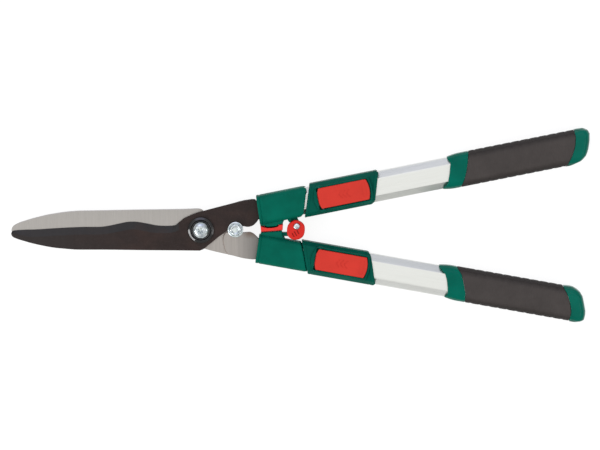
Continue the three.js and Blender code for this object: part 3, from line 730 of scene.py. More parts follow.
def blade_black():
    neck = spline(np.vstack([EDGE[-1:], NECK]), 5)[1:]
    back = spline(np.array(BACK)[:13], 5)
    back = np.vstack([back, spline(np.array(BACK)[13:], 4)])
    lobe = spline(np.array(LOBE), 5)
    tongue = to_model("upper", TONGUE)
    notch = arc_pts(STOP, 4.6, 14, 166, 14)
    tip = spline(np.array([[-219.2, -8.0], [-222.6, -6.6], [-224.9, -4.4], [-225.6, -2.2], [-225.1, -0.1], [-223.4, 1.15], [-220.0, 1.8]]), 5)
    back = back[back[:, 0] > -218.6]
    e0 = EDGE[EDGE[:, 0] > -219.4]
    loop = np.vstack([tip, e0, neck, tongue[[3, 2, 1, 0]], lobe[::-1], [[47.4, 3.6], [46.3, 2.8]], notch, back[::-1]])
    holes = [circle(4.3, (0, 0), 48), circle(2.9, to_model("upper", [140, 0])[0], 28)]
    ridge = ridge_of(EDGE, -1)

    def de(V):
        return polyline_distance(V, EDGE)

    def top(V, d):
        e = de(V)
        w = grind_width(V[:, 0])
        g = (HIGH[1] - HIGH[0] - 0.55) * grind_fade(V[:, 0]) * np.clip(1 - e / w, 0, 1)
        soft = np.where(e < d + 0.05, 0.25, 0.55)
        return HIGH[1] - g - edge_round(d, 0.5) * np.where(g > 0.3, 0.25, 1) * np.minimum(1, soft * 2)

    def bot(V, d):
        return HIGH[0] + edge_round(d, 0.4) * np.where(de(V) < 1.0, 0.1, 1)

    v, f, nt = sheet_mesh([loop] + holes, top, bot, 2.2, (0.15, 0.35, 0.7), features=[ridge])
    V = v[:len(v) // 2]
    idx = np.zeros(len(f), int)
    tri = np.array(f[:nt])
    c = V[tri].mean(1)[:, :2]
    e = de(c)
    fade = grind_fade(c[:, 0])
    band_ = (e < grind_width(c[:, 0])) & (fade > 0.02) & (c[:, 0] > -226)
    idx[:nt][band_] = 1
    walls = np.array([np.mean([v[i][:2] for i in q], axis=0) for q in f[2 * nt:]])
    if len(walls):
        w_e = de(walls)
        idx[2 * nt:][(w_e < 0.3) & (grind_fade(walls[:, 0]) > 0.2)] = 2
    return make("black_blade_fine", v, f, [BLACK, BEVEL, GRIND], "upper_side", "black_blade", "black_coated_steel", 13, idx)


def blade_silver():
    e = np.array([[x, min(-y, y - 1.4)] for x, y in WAVE[1:]])
    edge = spline(e, 6)
    neck = spline(np.vstack([edge[-1:], np.array(S_NECK) * [1, -1]]), 5)[1:]
    tongue = to_model("lower", TONGUE)
    lobe = spline(np.array([[51, -3.6], [54.8, -3.3], [58.6, -3.3], [62.4, -4.9], [66.1, -8.3], [68.4, -11]]), 5)
    back = spline(np.array(S_BACK), 5)
    disc = arc_pts(STOP, 8.6, -21.8, 175, 34)
    loop = np.vstack([edge, neck, tongue[[3, 2, 1, 0]], lobe[::-1], disc, back[::-1]])
    holes = [circle(4.3, (0, 0), 48), circle(4.3, STOP, 48), circle(2.9, to_model("lower", [140, 0])[0], 28)]
    ridge = ridge_of(edge, 1)

    def top(V, d):
        return LOW[1] - edge_round(d, 0.45) * np.where(polyline_distance(V, edge) < 0.8, 0.1, 1)

    def bot(V, d):
        q = polyline_distance(V, edge)
        g = (LOW[1] - LOW[0] - 0.55) * grind_fade(V[:, 0]) * np.clip(1 - q / grind_width(V[:, 0]), 0, 1)
        return LOW[0] + g + edge_round(d, 0.45) * np.where(g > 0.3, 0.2, 1)

    v, f, nt = sheet_mesh([loop] + holes, top, bot, 2.2, (0.15, 0.35, 0.7), features=[ridge])
    V = v[:len(v) // 2]
    c = V[np.array(f[:nt])].mean(1)[:, :2]
    idx = np.zeros(len(f), int)
    # the tail beyond the pivot takes the tang steel, with its painted shade towards the socket
    idx[:nt][c[:, 0] > -2] = 2
    low = slice(nt, 2 * nt)
    q = polyline_distance(c, edge)
    sub = np.where(c[:, 0] > -2, 2, 0)
    sub[(q < grind_width(c[:, 0])) & (grind_fade(c[:, 0]) > 0.02)] = 1
    idx[low] = sub
    return make("silver_blade_fine", v, f, [STEEL, GRIND, TANG], "lower_side", "silver_blade", "ground_steel", 13, idx)


def tang_plates():
    outer = np.array([[64.8, -35.7], [61.3, -35.9], [52.2, -34.7], [46.4, -33.4], [37.7, -31], [32.2, -29.7]])
    curve = spline(np.array([[32.2, -29.7], [28.7, -25.5], [26.9, -18.5], [25.9, -12.2], [27.2, -6.6], [29.9, -3], [33.4, -2.5]]), 6)[1:]
    lobe = spline(np.array([[48, -3], [51, -3.6], [54.8, -3.3], [58.6, -3.3], [62.4, -4.9], [66.1, -8.3], [68.4, -11]]), 5)
    loop = np.vstack([outer, curve, [[36.6, -2.4]], [[45.6, -2.4]], lobe, to_model("lower", TONGUE)])
    # the mouth round the bolt stays clear: the bolt's hole breaks out through the straight side
    r, c = 4.3, STOP
    y = -2.4
    x = math.sqrt(r * r - (y - c[1]) ** 2)
    hole = arc_pts(c, r, math.degrees(math.atan2(y - c[1], -x)), math.degrees(math.atan2(y - c[1], x)), 16)
    loop = np.vstack([outer, curve, [[36.0, -2.4]], hole, lobe, to_model("lower", TONGUE)])
    hs = [circle(2.9, to_model("lower", [140, 0])[0], 28)]
    v, f, nt = sheet_mesh([loop] + hs, lambda V, d: HIGH[1] - edge_round(d, 0.7), lambda V, d: HIGH[0] + edge_round(d, 0.3), 1.4,
                          (0.12, 0.3, 0.5, 0.75))
    idx = np.zeros(len(f), int)
    c = v[np.array(f[:nt])].mean(1)[:, :2]
    e = polyline_distance(c, np.vstack([outer[-1:], curve]))
    # painted shade: a band along the curved edge takes the darker steel
    idx[:nt][(e > 0.25) & (e < 0.85)] = 1
    make("lower_tang_plate_fine", v, f, [TANG, PAINTED_RIM_SHADE], "lower_side", "lower_tang_plate", "ground_steel", 62, idx)
    m = np.array([1, -1])
    cu = spline(np.vstack([curve * m, [[34.2, 6.2], [37, 8.4], [41.4, 9.5], [45.8, 8.4], [49, 5.6], [51, 4]]])[::2], 3)
    cu = np.vstack([curve * m, spline(np.array([[33.4, 4.6], [34.6, 6.8], [37, 8.6], [41.4, 9.6], [45.8, 8.5], [48.8, 5.9], [51, 4]]), 4)])
    loop = np.vstack([outer * m, cu, spline(np.array(LOBE), 5)[1:], to_model("upper", TONGUE)])
    v, f, nt = sheet_mesh([loop, circle(2.9, to_model("upper", [140, 0])[0], 28)], lambda V, d: LOW[1] - edge_round(d, 0.3),
                          lambda V, d: LOW[0] + edge_round(d, 0.5), 2.4, (0.15, 0.35, 0.7))
    make("upper_tang_spacer_fine", v, f, [BLACK], "upper_side", "upper_tang_spacer", "black_coated_steel", 22)


blade_black()
blade_silver()
tang_plates()


# ---------------------------------------------------------------- bolts, nuts, washers
def thread(r, z0, z1, pitch, depth):
    """Zigzag profile of a screw thread between two heights."""
    out, z = [], z0
    while z < z1 - pitch * 0.5:
        out += [(r - depth, z), (r, z + pitch * 0.42), (r, z + pitch * 0.58)]
        z += pitch
    return out + [(r - depth, z1)]


def hexring(c, af, levels, turn=0.0, n=72, inner=()):
    """Hexagon with turned limits: levels are (limit radius or None, z, optional width factor); inner is a turned (radius, z) list."""
    a = np.linspace(0, 2 * math.pi, n, endpoint=False) + math.pi / n * 0
    k = (a - turn + math.pi / 6) % (math.pi / 3) - math.pi / 6
    flat = (af / 2) / np.cos(k)
    corner = af / math.sqrt(3) - 0.22
    flat = np.minimum(flat, corner)
    loops = []
    for lim, z, *wide in levels:
        f_ = flat * (wide[0] if wide else 1.0)
        r = f_ if lim is None else np.minimum(f_, lim)
        loops.append(np.c_[c[0] + r * np.cos(a), c[1] + r * np.sin(a), np.full(n, z)])
    for r, z in inner:
        loops.append(np.c_[c[0] + r * np.cos(a), c[1] + r * np.sin(a), np.full(n, z)])
    return loops


def nut(name, c, af, bore, z0, z1, turn, body):
    rc = af / 2 * 1.02
    big = af / math.sqrt(3)
    lo = hexring(c, af, [(rc, z0), (big, z0 + (big - rc) * 0.62), (big, z1 - (big - rc) * 0.62), (rc, z1)], turn,
                 inner=[(bore + 0.7, z1), (bore, z1 - 0.7), (bore, z0 + 0.7), (bore + 0.7, z0)])
    v, f = rings(lo, closed=True)
    make(f"{name}_fine", v, f, [ZINC], body, name, "zinc", 24)


def hardware():
    # glossy bearing cup, with a bead round its rim and a stepped dish
    p = [(4.3, 18.95), (14.2, 18.95)] + arc_profile((14.2, 19.75), 0.8, -90, 0, 4) + [(15.3, 20.35), (15.32, 20.55), (15.25, 20.7),
         (15.1, 20.8), (14.4, 21.12), (13.7, 21.44), (13.0, 21.76), (12.75, 21.86), (12.5, 21.89), (12.28, 21.8), (12.1, 21.5), (11.95, 21.0),
         (11.6, 20.4), (11.1, 20.1), (9.9, 19.95), (4.3, 19.95), (4.3, 18.95)]
    v, f = lathe(p, (0, 0), 96)
    make("pivot_cup_fine", v, f, [PLASTIC_BLACK], "upper_side", "pivot_cup", "black_plastic", 40)
    # pivot bolt: domed flange head with a hexagon recess
    p = [(0, 0.35), (1.4, 0.3), (1.6, 0.0), (3.0, 0.0)] + [(3.4, 0.35)] + thread(4.0, 0.6, 9.2, 1.25, 0.55) + [(4.0, 9.4), (4.0, 20.05),
         (4.2, 20.25), (9.4, 20.25), (9.8, 20.5), (9.85, 21.4), (9.8, 22.0), (9.5, 22.9), (8.95, 23.8), (8.1, 24.65), (7.1, 25.35),
         (5.9, 25.85), (4.6, 26.12), (3.6, 26.25), (0, 26.25)]
    v, f = lathe(p, (0, 0), 96)
    b = temp(v, f)
    for k in range(3):
        a = 0.42 + k * math.pi / 3
        d, n_ = np.array([math.cos(a), math.sin(a)]), np.array([-math.sin(a), math.cos(a)])
        hi = [d * s1 * 3.5 + n_ * s2 * 0.85 for s1, s2 in ((-1, -1), (1, -1), (1, 1), (-1, 1))]
        lo = [d * s1 * 2.2 + n_ * s2 * 0.35 for s1, s2 in ((-1, -1), (1, -1), (1, 1), (-1, 1))]
        b = boolean(b, temp(*rings([np.c_[np.array(lo), np.full(4, 23.2)], np.c_[np.array(hi), np.full(4, 26.6)]])))
    finish_named(b, "pivot_bolt_fine", [ZINC], "upper_side", "pivot_bolt", "zinc", 30)
    v, f = lathe([(4.3, 9.45), (9.2, 9.45), (9.5, 9.75), (9.5, 10.75), (9.2, 11.05), (4.3, 11.05), (4.3, 9.45)], (0, 0), 72)
    make("pivot_washer_fine", v, f, [ZINC], "upper_side", "pivot_washer", "zinc", 30)
    nut("pivot_nut", (0, 0), 13, 4.3, 2.4, 9.15, 0.0, "upper_side")
    # stop bolt: flange, hexagon head with a dish
    fl = [(0, 2.6), (3.2, 2.6), (3.6, 2.95)] + thread(4.0, 3.2, 11.0, 1.25, 0.55) + [(4.0, 11.2), (4.0, 18.95), (9.0, 18.95),
          (9.3, 19.15), (9.3, 19.8), (9.15, 20.05), (8.85, 20.2), (8.3, 20.34), (7.95, 20.36), (7.75, 20.28), (7.45, 19.95), (7.2, 19.85),
          (0, 19.85)]
    v, f = lathe(fl, STOP, 96)
    big = 13 / math.sqrt(3)
    lo = hexring(STOP, 13, [(7.2, 19.8, 1.0), (7.2, 20.4, 0.995), (7.05, 24.2, 0.97), (6.8, 24.75, 0.955), (6.4, 25.2, 0.945), (6.0, 25.45, 0.94), (5.6, 25.55, 0.93)], 0.4, 240,
                 inner=[(4.9, 25.55), (4.6, 25.45), (4.3, 25.2), (3.9, 24.75), (3.4, 24.5), (1.6, 24.42)])
    hv, hf = rings(lo)
    off = len(v)
    v = [tuple(p) for p in v] + [tuple(p) for p in hv]
    f = [tuple(q) for q in f] + [tuple(i + off for i in q) for q in hf]
    make("stop_bolt_fine", v, f, [ZINC], "lower_side", "stop_bolt", "zinc", 26)
    nut("stop_bolt_nut", STOP, 13, 4.3, 4.45, 11.05, 0.3, "lower_side")
    # knob screw: pan head with a cross recess
    p = [(0, 3.6), (1.6, 3.6), (1.75, 3.8)] + thread(2.0, 4.0, 9.2, 0.7, 0.3) + [(2.0, 9.4), (2.0, 26.9), (3.4, 26.9),
         (3.65, 27.15), (3.65, 27.9)] + arc_profile((2.4, 28.0), 1.25, 0, 65, 5) + [(1.9, 29.38), (1.0, 29.48), (0, 29.5)]
    v, f = lathe(p, KNOB, 48)
    b = temp(v, f)
    for k in range(2):
        a = 0.5 + k * math.pi / 2
        d, n_ = np.array([math.cos(a), math.sin(a)]), np.array([-math.sin(a), math.cos(a)])
        sq = [KNOB + d * s1 * 2.05 + n_ * s2 * 0.42 for s1, s2 in ((-1, -1), (1, -1), (1, 1), (-1, 1))]
        q2 = [KNOB + d * s1 * 1.2 + n_ * s2 * 0.32 for s1, s2 in ((-1, -1), (1, -1), (1, 1), (-1, 1))]
        b = boolean(b, temp(*rings([np.c_[np.array(q2), np.full(4, 28.1)], np.c_[np.array(sq), np.full(4, 30.5)]])))
    finish_named(b, "knob_screw_fine", [ZINC], "upper_side", "knob_screw", "zinc", 30)
    nut("knob_nut", KNOB, 7, 2.3, 5.4, 8.7, 0.0, "upper_side")


hardware()


# ---------------------------------------------------------------- sleeves along a handle
def half_ring(section, n):
    """Closed (v, z) section, mirror-even about MID, as n points over the top from +v to -v and the same
    v positions back underneath."""
    s = resample(section, 720)
    top = s[s[:, 1] >= MID - 1e-6]
    top = top[np.argsort(np.unwrap(np.arctan2(top[:, 1] - MID, top[:, 0])))]
    d = np.r_[0, np.cumsum(np.linalg.norm(np.diff(top, axis=0), axis=1))]
    # more points round the corners than along the flats
    ang = np.unwrap(np.arctan2(np.gradient(top[:, 1]), np.gradient(top[:, 0])))
    w = d / d[-1] + np.abs(np.r_[0, np.cumsum(np.abs(np.diff(ang)))]) / math.pi * 1.6
    t = np.linspace(0, w[-1], n)
    return np.stack([np.interp(t, w, top[:, 0]), np.interp(t, w, top[:, 1])], 1)


class Sleeve:
    """Body of even section along a handle. Its two ends are lines u = a(v) and u = b(v)."""

    def __init__(self, name, section, a, b, n=26):
        self.h = name
        top = half_ring(section, n)
        top[0, 1] = top[-1, 1] = MID
        bot = top[1:-1][::-1].copy()
        bot[:, 1] = 2 * MID - bot[:, 1]
        self.ring = np.vstack([top, bot])
        self.n = n
        self.norm = normals2(self.ring) * (1 if area(self.ring) > 0 else -1)
        self.a, self.b = self.line(a), self.line(b)

    def line(self, pts):
        p = np.asarray(pts, float)
        if p.ndim == 0:
            return np.full(len(self.ring), float(p))
        p = p[np.argsort(p[:, 1])]
        return np.interp(self.ring[:, 0], p[:, 1], p[:, 0])

    def at(self, kind, off, sink=0.0, squash=1.0):
        if kind == "a":
            u = self.a + off
        elif kind == "b":
            u = self.b - off
        else:
            u = self.a + (self.b - self.a) * off
        g = sink(u, self.ring) if callable(sink) else np.full(len(u), float(sink))
        p = self.ring + self.norm * g[:, None]
        z = MID + (p[:, 1] - MID) * squash
        return np.c_[u, p[:, 0], z]

    def solid(self, stations):
        loops = [self.at(*s) for s in stations]
        n, N = self.n, len(self.ring)
        verts = np.vstack(loops)
        faces = []
        for i in range(len(loops) - 1):
            for k in range(N):
                k2 = (k + 1) % N
                faces.append((i * N + k, i * N + k2, (i + 1) * N + k2, (i + 1) * N + k))
        for base in (0, (len(loops) - 1) * N):
            for i in range(n - 1):
                t0, t1 = i, i + 1
                b0, b1 = (N - i) % N, N - i - 1
                q = [base + t0, base + t1, base + b1, base + b0]
                q = [x for j, x in enumerate(q) if x not in q[:j]]
                if len(q) > 2:
                    faces.append(tuple(q))
        return place(self.h, verts), faces


def shifted(line, d):
    return [[u + d, v] for u, v in line]


def octagon(w, t, flat, wall=0.0, grow=0.0, r=0.0, seg=4, rise=1.0):
    a, b, f = w / 2 + grow, t / 2 + grow, flat / 2 + grow * 0.414
    s = b - (a - f) * rise
    p = np.array([[-f, -b], [f, -b], [a, -s], [a, s], [f, b], [-f, b], [-a, s], [-a, -s]]) + [0, MID]
    return rounded(p, r, seg) if r > 0 else p


def bar_tool(name, section, u0, u1):
    """Straight cutter with a (v, z) section, along a handle."""
    s = np.asarray(section, float)
    return temp(*rings([place(name, np.c_[np.full(len(s), u), s]) for u in (u0, u1)]))


def box_tool(name, u0, u1, v0, v1, z0, z1):
    return bar_tool(name, [[v0, z0], [v1, z0], [v1, z1], [v0, z1]], u0, u1)


def rod_tool(xy, r, z0, z1, n=40):
    return temp(*rings([np.c_[circle(r, xy, n), np.full(n, z)] for z in (z0, z1)]))


def cross_rod(name, r, v0, v1, u, z, n=40, tool=True, chamfer=0.0):
    a = np.linspace(0, 2 * math.pi, n, endpoint=False)
    st = [(v0, r - chamfer), (v0 + chamfer, r), (v1 - chamfer, r), (v1, r - chamfer)] if chamfer else [(v0, r), (v1, r)]
    v, f = rings([place(name, np.c_[u + q * np.cos(a), np.full(n, vv), z + q * np.sin(a)]) for vv, q in st])
    return temp(v, f) if tool else (v, f)


def plan_tool(loop, z0, z1):
    return temp(*rings([np.c_[ccw(loop), np.full(len(loop), z)] for z in (z0, z1)]))


def hollow_bar(name, sec, wall, u0, u1, ch=0.35, r=0.9):
    """Tube: outer and inner skins with small chamfers at both ends."""
    so = octagon(**sec, r=r)
    si = octagon(**sec, grow=-wall, r=max(0.3, r - 0.4))
    n = 96
    start = [0, MID - sec["t"] / 2]
    so, si = resample(so, n, start), resample(si, n, [0, MID - sec["t"] / 2 + wall])

    def ring(s, u):
        return place(name, np.c_[np.full(n, u), s])
    so_c = inset(so, ch) if area(so) > 0 else inset(so, -ch)
    st = [ring(so_c, u0), ring(so, u0 + ch)]
    st += [ring(so, u0 + (u1 - u0) * k / 12) for k in range(1, 12)]
    st += [ring(so, u1 - ch), ring(so_c, u1), ring(si, u1)]
    st += [ring(si, u0 + (u1 - u0) * k / 12) for k in range(11, 0, -1)] + [ring(si, u0)]
    return rings(st, closed=True)


# ---------------------------------------------------------------- sockets
def socket_section(f):
    p = [[3.9 - f, 1.5], [12.8, 1.5], [16.9, 5.4], [17.6, 11], [17.6, 19], [16.9, 24.6], [12.8, 28.5], [3.9 - f, 28.5], [0.7 - f, 24.8],
         [-f, 19], [-f, 11], [0.7 - f, 5.2]]
    return rounded(p, 6, 7)


def bead(depth, k=1.0):
    """Rolled mouth of a socket: rounded lip, bead, groove, then the body."""
    return [("a", 0.0, 0.8), ("a", 0.25, 0.3), ("a", 0.7, 0.05), ("a", 1.3, 0.0), ("a", 2.2, 0.0), ("a", 2.9, 0.05),
            ("a", 3.3, depth), ("a", 3.9, depth), ("a", 4.4, 0.12), ("a", 5.0, 0.0)]


SOCK = {
    "upper": dict(f=17.8, a=[[123.8, 17.6], [121.9, -18.3]],
                  b=[[180.6, 17.6], [183.5, 16.4], [184.3, 14.2], [175.4, -14.2], [172.8, -17.0], [169.8, -18.3]]),
    "lower": dict(f=17.2, a=[[122.0, 17.6], [120.8, -18.3]],
                  b=[[182.6, 17.6], [183.6, 16.6], [178, 0.7], [172.2, -14], [170.4, -16.8], [168, -18.3]]),
}


def socket(name):
    s, side = SOCK[name], SIDE[name]
    sl = Sleeve(name, socket_section(s["f"]), s["a"], s["b"], 30)
    st = bead(0.6) + [("a", 8.6, 0.0), ("a", 8.9, 0.16), ("a", 9.3, 0.16), ("a", 9.6, 0.0)]
    st += [("f", t, 0.0) for t in (0.25, 0.4, 0.55, 0.7, 0.82)]
    st += [("b", 2.4, 0.0), ("b", 1.2, 0.1), ("b", 0.5, 0.4), ("b", 0.12, 0.8), ("b", 0.0, 1.3)]
    body = temp(*sl.solid(st))
    adds = []
    if name == "lower":
        neck = Sleeve(name, octagon(**INNER, grow=1.6, r=1.5), 160, shifted(s["b"], 1.15), 26)
        adds.append(temp(*neck.solid([("a", 0, 0), ("f", 0.5, 0), ("b", 0.3, 0), ("b", 0, 0.3)])))
    if name == "upper":
        rib = spline(np.array([[71.4, 14], [71.0, 6]]), 1)
        rib = np.vstack([[[71.3, 18], [70.8, 4.9], [76.2, 4.8], [77.6, 4.0], [79.1, 3.3], [84.6, 3.6], [90.1, 4.1], [91.6, 5.4], [93.2, 6.3],
                          [96.9, 6.7]], spline(np.array([[97.5, 7.1], [98.3, 8.9], [99.3, 10.8], [100.6, 12.1], [101.9, 12.5], [103.1, 11.8], [104.3, 9.7],
                         [105.2, 8.2]]), 4), [[107.6, 9.0], [109, 20], [99, 24], [72, 24]]])
        adds.append(temp(*rprism(rib, 7, 23, 0.8, 1.4)))
        # fillet web that thickens the rib's root on its upper face
        web = np.array([[72.3, 9.0], [90.0, 9.4], [92.6, 13], [93.0, 20], [72.6, 18]])
        adds.append(temp(*rprism(rounded(web, 1.5), 6.4, 24.6, 0.6, 1.6)))
        lug = np.vstack([[[103.6, 20], [104.6, 14.5]], spline(np.array([[105.2, 12.4], [107.2, 8.2], [108.9, 4.6], [109.6, 1.9], [111.4, -0.2],
                         [114.1, -0.95], [116.8, -0.2], [118.7, 2.0], [119.0, 5.2], [118.2, 7.8], [116.2, 10.4], [115.0, 13.2]]), 4), [[114.9, 18.6]]])
        adds.append(temp(*rprism(lug, 9, 19.5, 0.8, 0.8)))
    else:
        pad = np.vstack([[[71.5, -3.6]], [[96.2, -1.9], [96.8, -3.1], [97.4, -8.9]], spline(np.array([[98.8, -9.3], [99.8, -10.4], [100.0, -14], [101, -17.5]]), 4),
                         [[100, -22], [70.0, -22], [69.4, -12.4], [70.2, -8.8]]])
        adds.append(temp(*rprism(pad, 7, 23, 0.8, 1.4)))
        finger = rounded([[93, -3.95], [107.4, -3.95], [107.4, -8.35], [93, -8.35]], 0.9)
        adds.append(temp(*rprism(finger, 9, 19.5, 0.6, 0.6)))
    body = boolean(body, adds, "UNION")
    cuts = [box_tool(name, 118, 154, -11.9, 11.9, LOW[0] - 0.3, HIGH[1] + 0.3),
            bar_tool(name, octagon(**INNER, grow=0.3), 157.7, 200),
            rod_tool(to_model(name, [140, 0])[0], 2.8, -5, 24.3), rod_tool(to_model(name, [140, 0])[0], 5.1, -5, 3.9),
            rod_tool(to_model(name, [170, 2])[0], 2.3, -5, 20), rod_tool(to_model(name, [170, 2])[0], 4.3, -5, 3.2)]
    if name == "upper":
        cuts.append(rod_tool(KNOB, 2.3, 0, 40))
    body = boolean(body, cuts)
    finish_named(body, f"{name}_socket_fine", [GREEN], f"{name}_side", f"{name}_socket", "green_plastic", 30)


for _n in SIDE:
    socket(_n)

_b = np.vstack([[[71.6, -2.7], [97.3, -0.95], [97.9, 5.95], [93.3, 5.55], [91.3, 4.2]], spline(np.array([[90.3, 3.4], [84.6, 2.6], [79.2, 2.45]]), 4),
                [[76.2, 4.1], [71.0, 4.2]]])
_v, _f = rprism(rounded(_b, 0.45, 3), 8, 22, 0.7, 0.7)
make("rubber_buffer_fine", _v, _f, [SOFT_RED], "upper_side", "rubber_buffer", "soft_red", 35)


# ---------------------------------------------------------------- tubes and small inner pieces
PIN_U = {"upper": 199.7, "lower": 195.4}
for _n in SIDE:
    body, slider = f"{_n}_side", f"{_n}_slider"
    t0 = PIN_U[_n] - 4.2 + 20
    t1 = {"upper": 505.0, "lower": 499.0}[_n]
    ob = temp(*hollow_bar(_n, INNER, INNER["wall"], 158, 470))
    ob = boolean(ob, rod_tool(to_model(_n, [170, 2])[0], 2.3, -5, 12))
    finish_named(ob, f"{_n}_inner_tube_fine", [ALU[_n]], body, f"{_n}_inner_tube", "aluminium", 22)
    ob = temp(*hollow_bar(_n, TUBE, TUBE["wall"], t0, t1))
    ob = boolean(ob, rod_tool(to_model(_n, [t0 + 14, 0])[0], 2.3, -5, 10))
    finish_named(ob, f"{_n}_outer_tube_fine", [ALU[_n]], slider, f"{_n}_outer_tube", "aluminium", 22)
    # glide bush: flange outside the tube's end, collar inside it
    fl = octagon(**INNER, grow=0.14, r=1.0)
    co = octagon(**INNER, grow=-INNER["wall"] - 0.3, r=0.8)
    bo = octagon(**INNER, grow=-INNER["wall"] - 2.1, r=0.6)
    fl, co, bo = [resample(q, 96, [0, q[:, 1].min()]) for q in (fl, co, bo)]
    R = lambda q, u: place(_n, np.c_[np.full(96, u), q])
    st = [R(co, 457), R(co, 470.3), R(fl, 470.3), R(fl, 473.9), R(inset(ccw(fl), 0.4) if area(fl) > 0 else fl, 474.3), R(bo, 474.3), R(bo, 457)]
    v, f = rings(st, closed=True)
    make(f"{_n}_glide_bush_fine", v, f, [GREY], body, f"{_n}_glide_bush", "grey_plastic", 30)
    # clamp pad
    u = PIN_U[_n]
    q = rounded(to_model(_n, [[u - 5.5, -8], [u + 5.5, -8], [u + 5.5, 8], [u - 5.5, 8]]), 0.8)
    v, f = rprism(q, 24.0, 25.9, 0.2, 0.3)
    make(f"{_n}_clamp_pad_fine", v, f, [GREY], slider, f"{_n}_clamp_pad", "grey_plastic", 35)
    # screws from underneath and the rivet
    for tag, uu, vv, r, hr, z0, zh, z1, bd in (("tang_screw", 140, 0, 2.5, 4.8, 1.9, 3.6, 24.0, body), ("tube_screw", 170, 2, 2.0, 4.0, 1.7, 2.9, 14.0, body)):
        c = to_model(_n, [uu, vv])[0]
        p = [(0, z0 + 0.9), (1.1, z0 + 0.85), (1.45, z0)] + [(hr - 0.6, z0), (hr - 0.15, z0 + 0.25), (hr, z0 + 0.6), (hr, zh), (r, zh)] \
            + thread(r, zh + 0.5, z1 - 1.2, 1.0, 0.4) + [(r * 0.4, z1), (0, z1)]
        v, f = lathe(p, c, 40)
        make(f"{_n}_{tag}_fine", v, f, [ZINC], bd, f"{_n}_{tag}", "zinc", 30)
    c = to_model(_n, [t0 + 14, 0])[0]
    v, f = lathe([(0, 2.25), (1.5, 2.25), (1.9, 2.1), (3.4, 2.15), (3.8, 2.4), (3.8, 2.7), (2, 2.7), (2, 5.3), (1.8, 5.5), (0, 5.5)], c, 40)
    make(f"{_n}_housing_rivet_fine", v, f, [ZINC], slider, f"{_n}_housing_rivet", "zinc", 30)


# ---------------------------------------------------------------- clamp housings, levers, pins
SL = {
    "upper": dict(lever=[195.5, 258.7, -12.8, 12.7], a=[[188.9, 19.2], [175.9, -19.2]],
                  b=[[269.9, 19.2], [271.9, 17.2], [262, -14.9], [259.9, -18.0], [257.0, -19.2]]),
    "lower": dict(lever=[191.2, 254.3, -13.6, 11.8], a=[[185.6, 19.2], [171.9, -19.2]],
                  b=[[265.2, 19.2], [267, 17.3], [256.1, -15.5], [254.5, -18.1], [251.8, -19.2]]),
}


def paddle_plan(l0, l1, v0, v1, bulge, r, grow=0.0, name=None, left_bulge=None):
    """Rounded rectangle with gently bowed ends, in handle coordinates."""
    l0, l1, v0, v1 = l0 - grow, l1 + grow, v0 - grow, v1 + grow
    vm = (v0 + v1) / 2
    h = (v1 - v0) / 2
    vv = np.linspace(-1, 1, 15)
    right = np.c_[l1 - bulge * vv ** 2, vm + h * vv]
    left = np.c_[l0 + (bulge if left_bulge is None else left_bulge) * vv[::-1] ** 2, vm + h * vv[::-1]]
    p = rounded(np.vstack([right, left]), [r if i in (0, 14, 15, 29) else 0 for i in range(30)], 6)
    return to_model(name, p)


def housing(name):
    s, side = SL[name], SIDE[name]
    l0, l1, v0, v1 = s["lever"]
    u = PIN_U[name]
    t0 = l0 + 20
    sec = rounded([[-14, 2], [14, 2], [19.2, 7.6], [19.2, 22.4], [14.2, 28.4], [-14.2, 28.4], [-19.2, 22.4], [-19.2, 7.6]], 1.8, 4)
    sl = Sleeve(name, sec, s["a"], s["b"], 30)
    st = [("a", 0, 0.6), ("a", 0.12, 0.3), ("a", 0.4, 0.08), ("a", 1.2, 0.0), ("a", 3.2, 0.0), ("a", 3.5, 0.22), ("a", 3.9, 0.22), ("a", 4.2, 0.0)]
    st += [("f", t, 0.0) for t in (0.2, 0.35, 0.5, 0.65, 0.8)]
    st += [("b", 5.4, 0.0), ("b", 5.0, 0.3), ("b", 4.5, 0.3), ("b", 4.1, -0.05), ("b", 1.1, -0.05), ("b", 0.4, 0.05), ("b", 0.12, 0.25), ("b", 0, 0.55)]
    body = temp(*sl.solid(st))
    fr = paddle_plan(l0 - 4.8, l1 + 2.6, v0 - 2.2, v1 + 2.2, 2.6, 3.0, 0, name, left_bulge=5.0)
    ears = [temp(*rprism(rounded(to_model(name, [[u - 3.2, a], [u + 3.2, a], [u + 3.2, b], [u - 3.2, b]]), 0.8), 27.2, 32.1, 0, 0.8, 4))
            for a, b in ((v0 - 2.9, v0 - 0.35), (v1 + 0.35, v1 + 2.9))]
    body = boolean(body, [temp(*rprism(fr, 27.0, 30.8, 0.0, 0.9, 5))] + ears, "UNION")
    pad = [u - 5.8, u + 5.8]
    cuts = [plan_tool(paddle_plan(l0, l1, v0, v1, 2.3, 2.0, 0.4, name), 28.0, 36),
            box_tool(name, l0 - 0.45, u + 4.3, v0 - 0.35, v1 + 0.35, 25.95, 36),
            box_tool(name, pad[0], pad[1], -8.3, 8.3, 20, 30),
            cross_rod(name, 1.8, v0 - 2.3, v1 + 2.3, u, 30.2),
            bar_tool(name, octagon(**INNER, grow=0.3), 150, t0 + 1), bar_tool(name, octagon(**TUBE, grow=0.3), t0 - 0.3, 320),
            rod_tool(to_model(name, [t0 + 14, 0])[0], 2.3, -5, 8), rod_tool(to_model(name, [t0 + 14, 0])[0], 4.1, -5, 3)]
    body = boolean(body, cuts)
    finish_named(body, f"{name}_clamp_housing_fine", [GREEN_DARK], f"{name}_slider", f"{name}_clamp_housing", "green_plastic", 30)


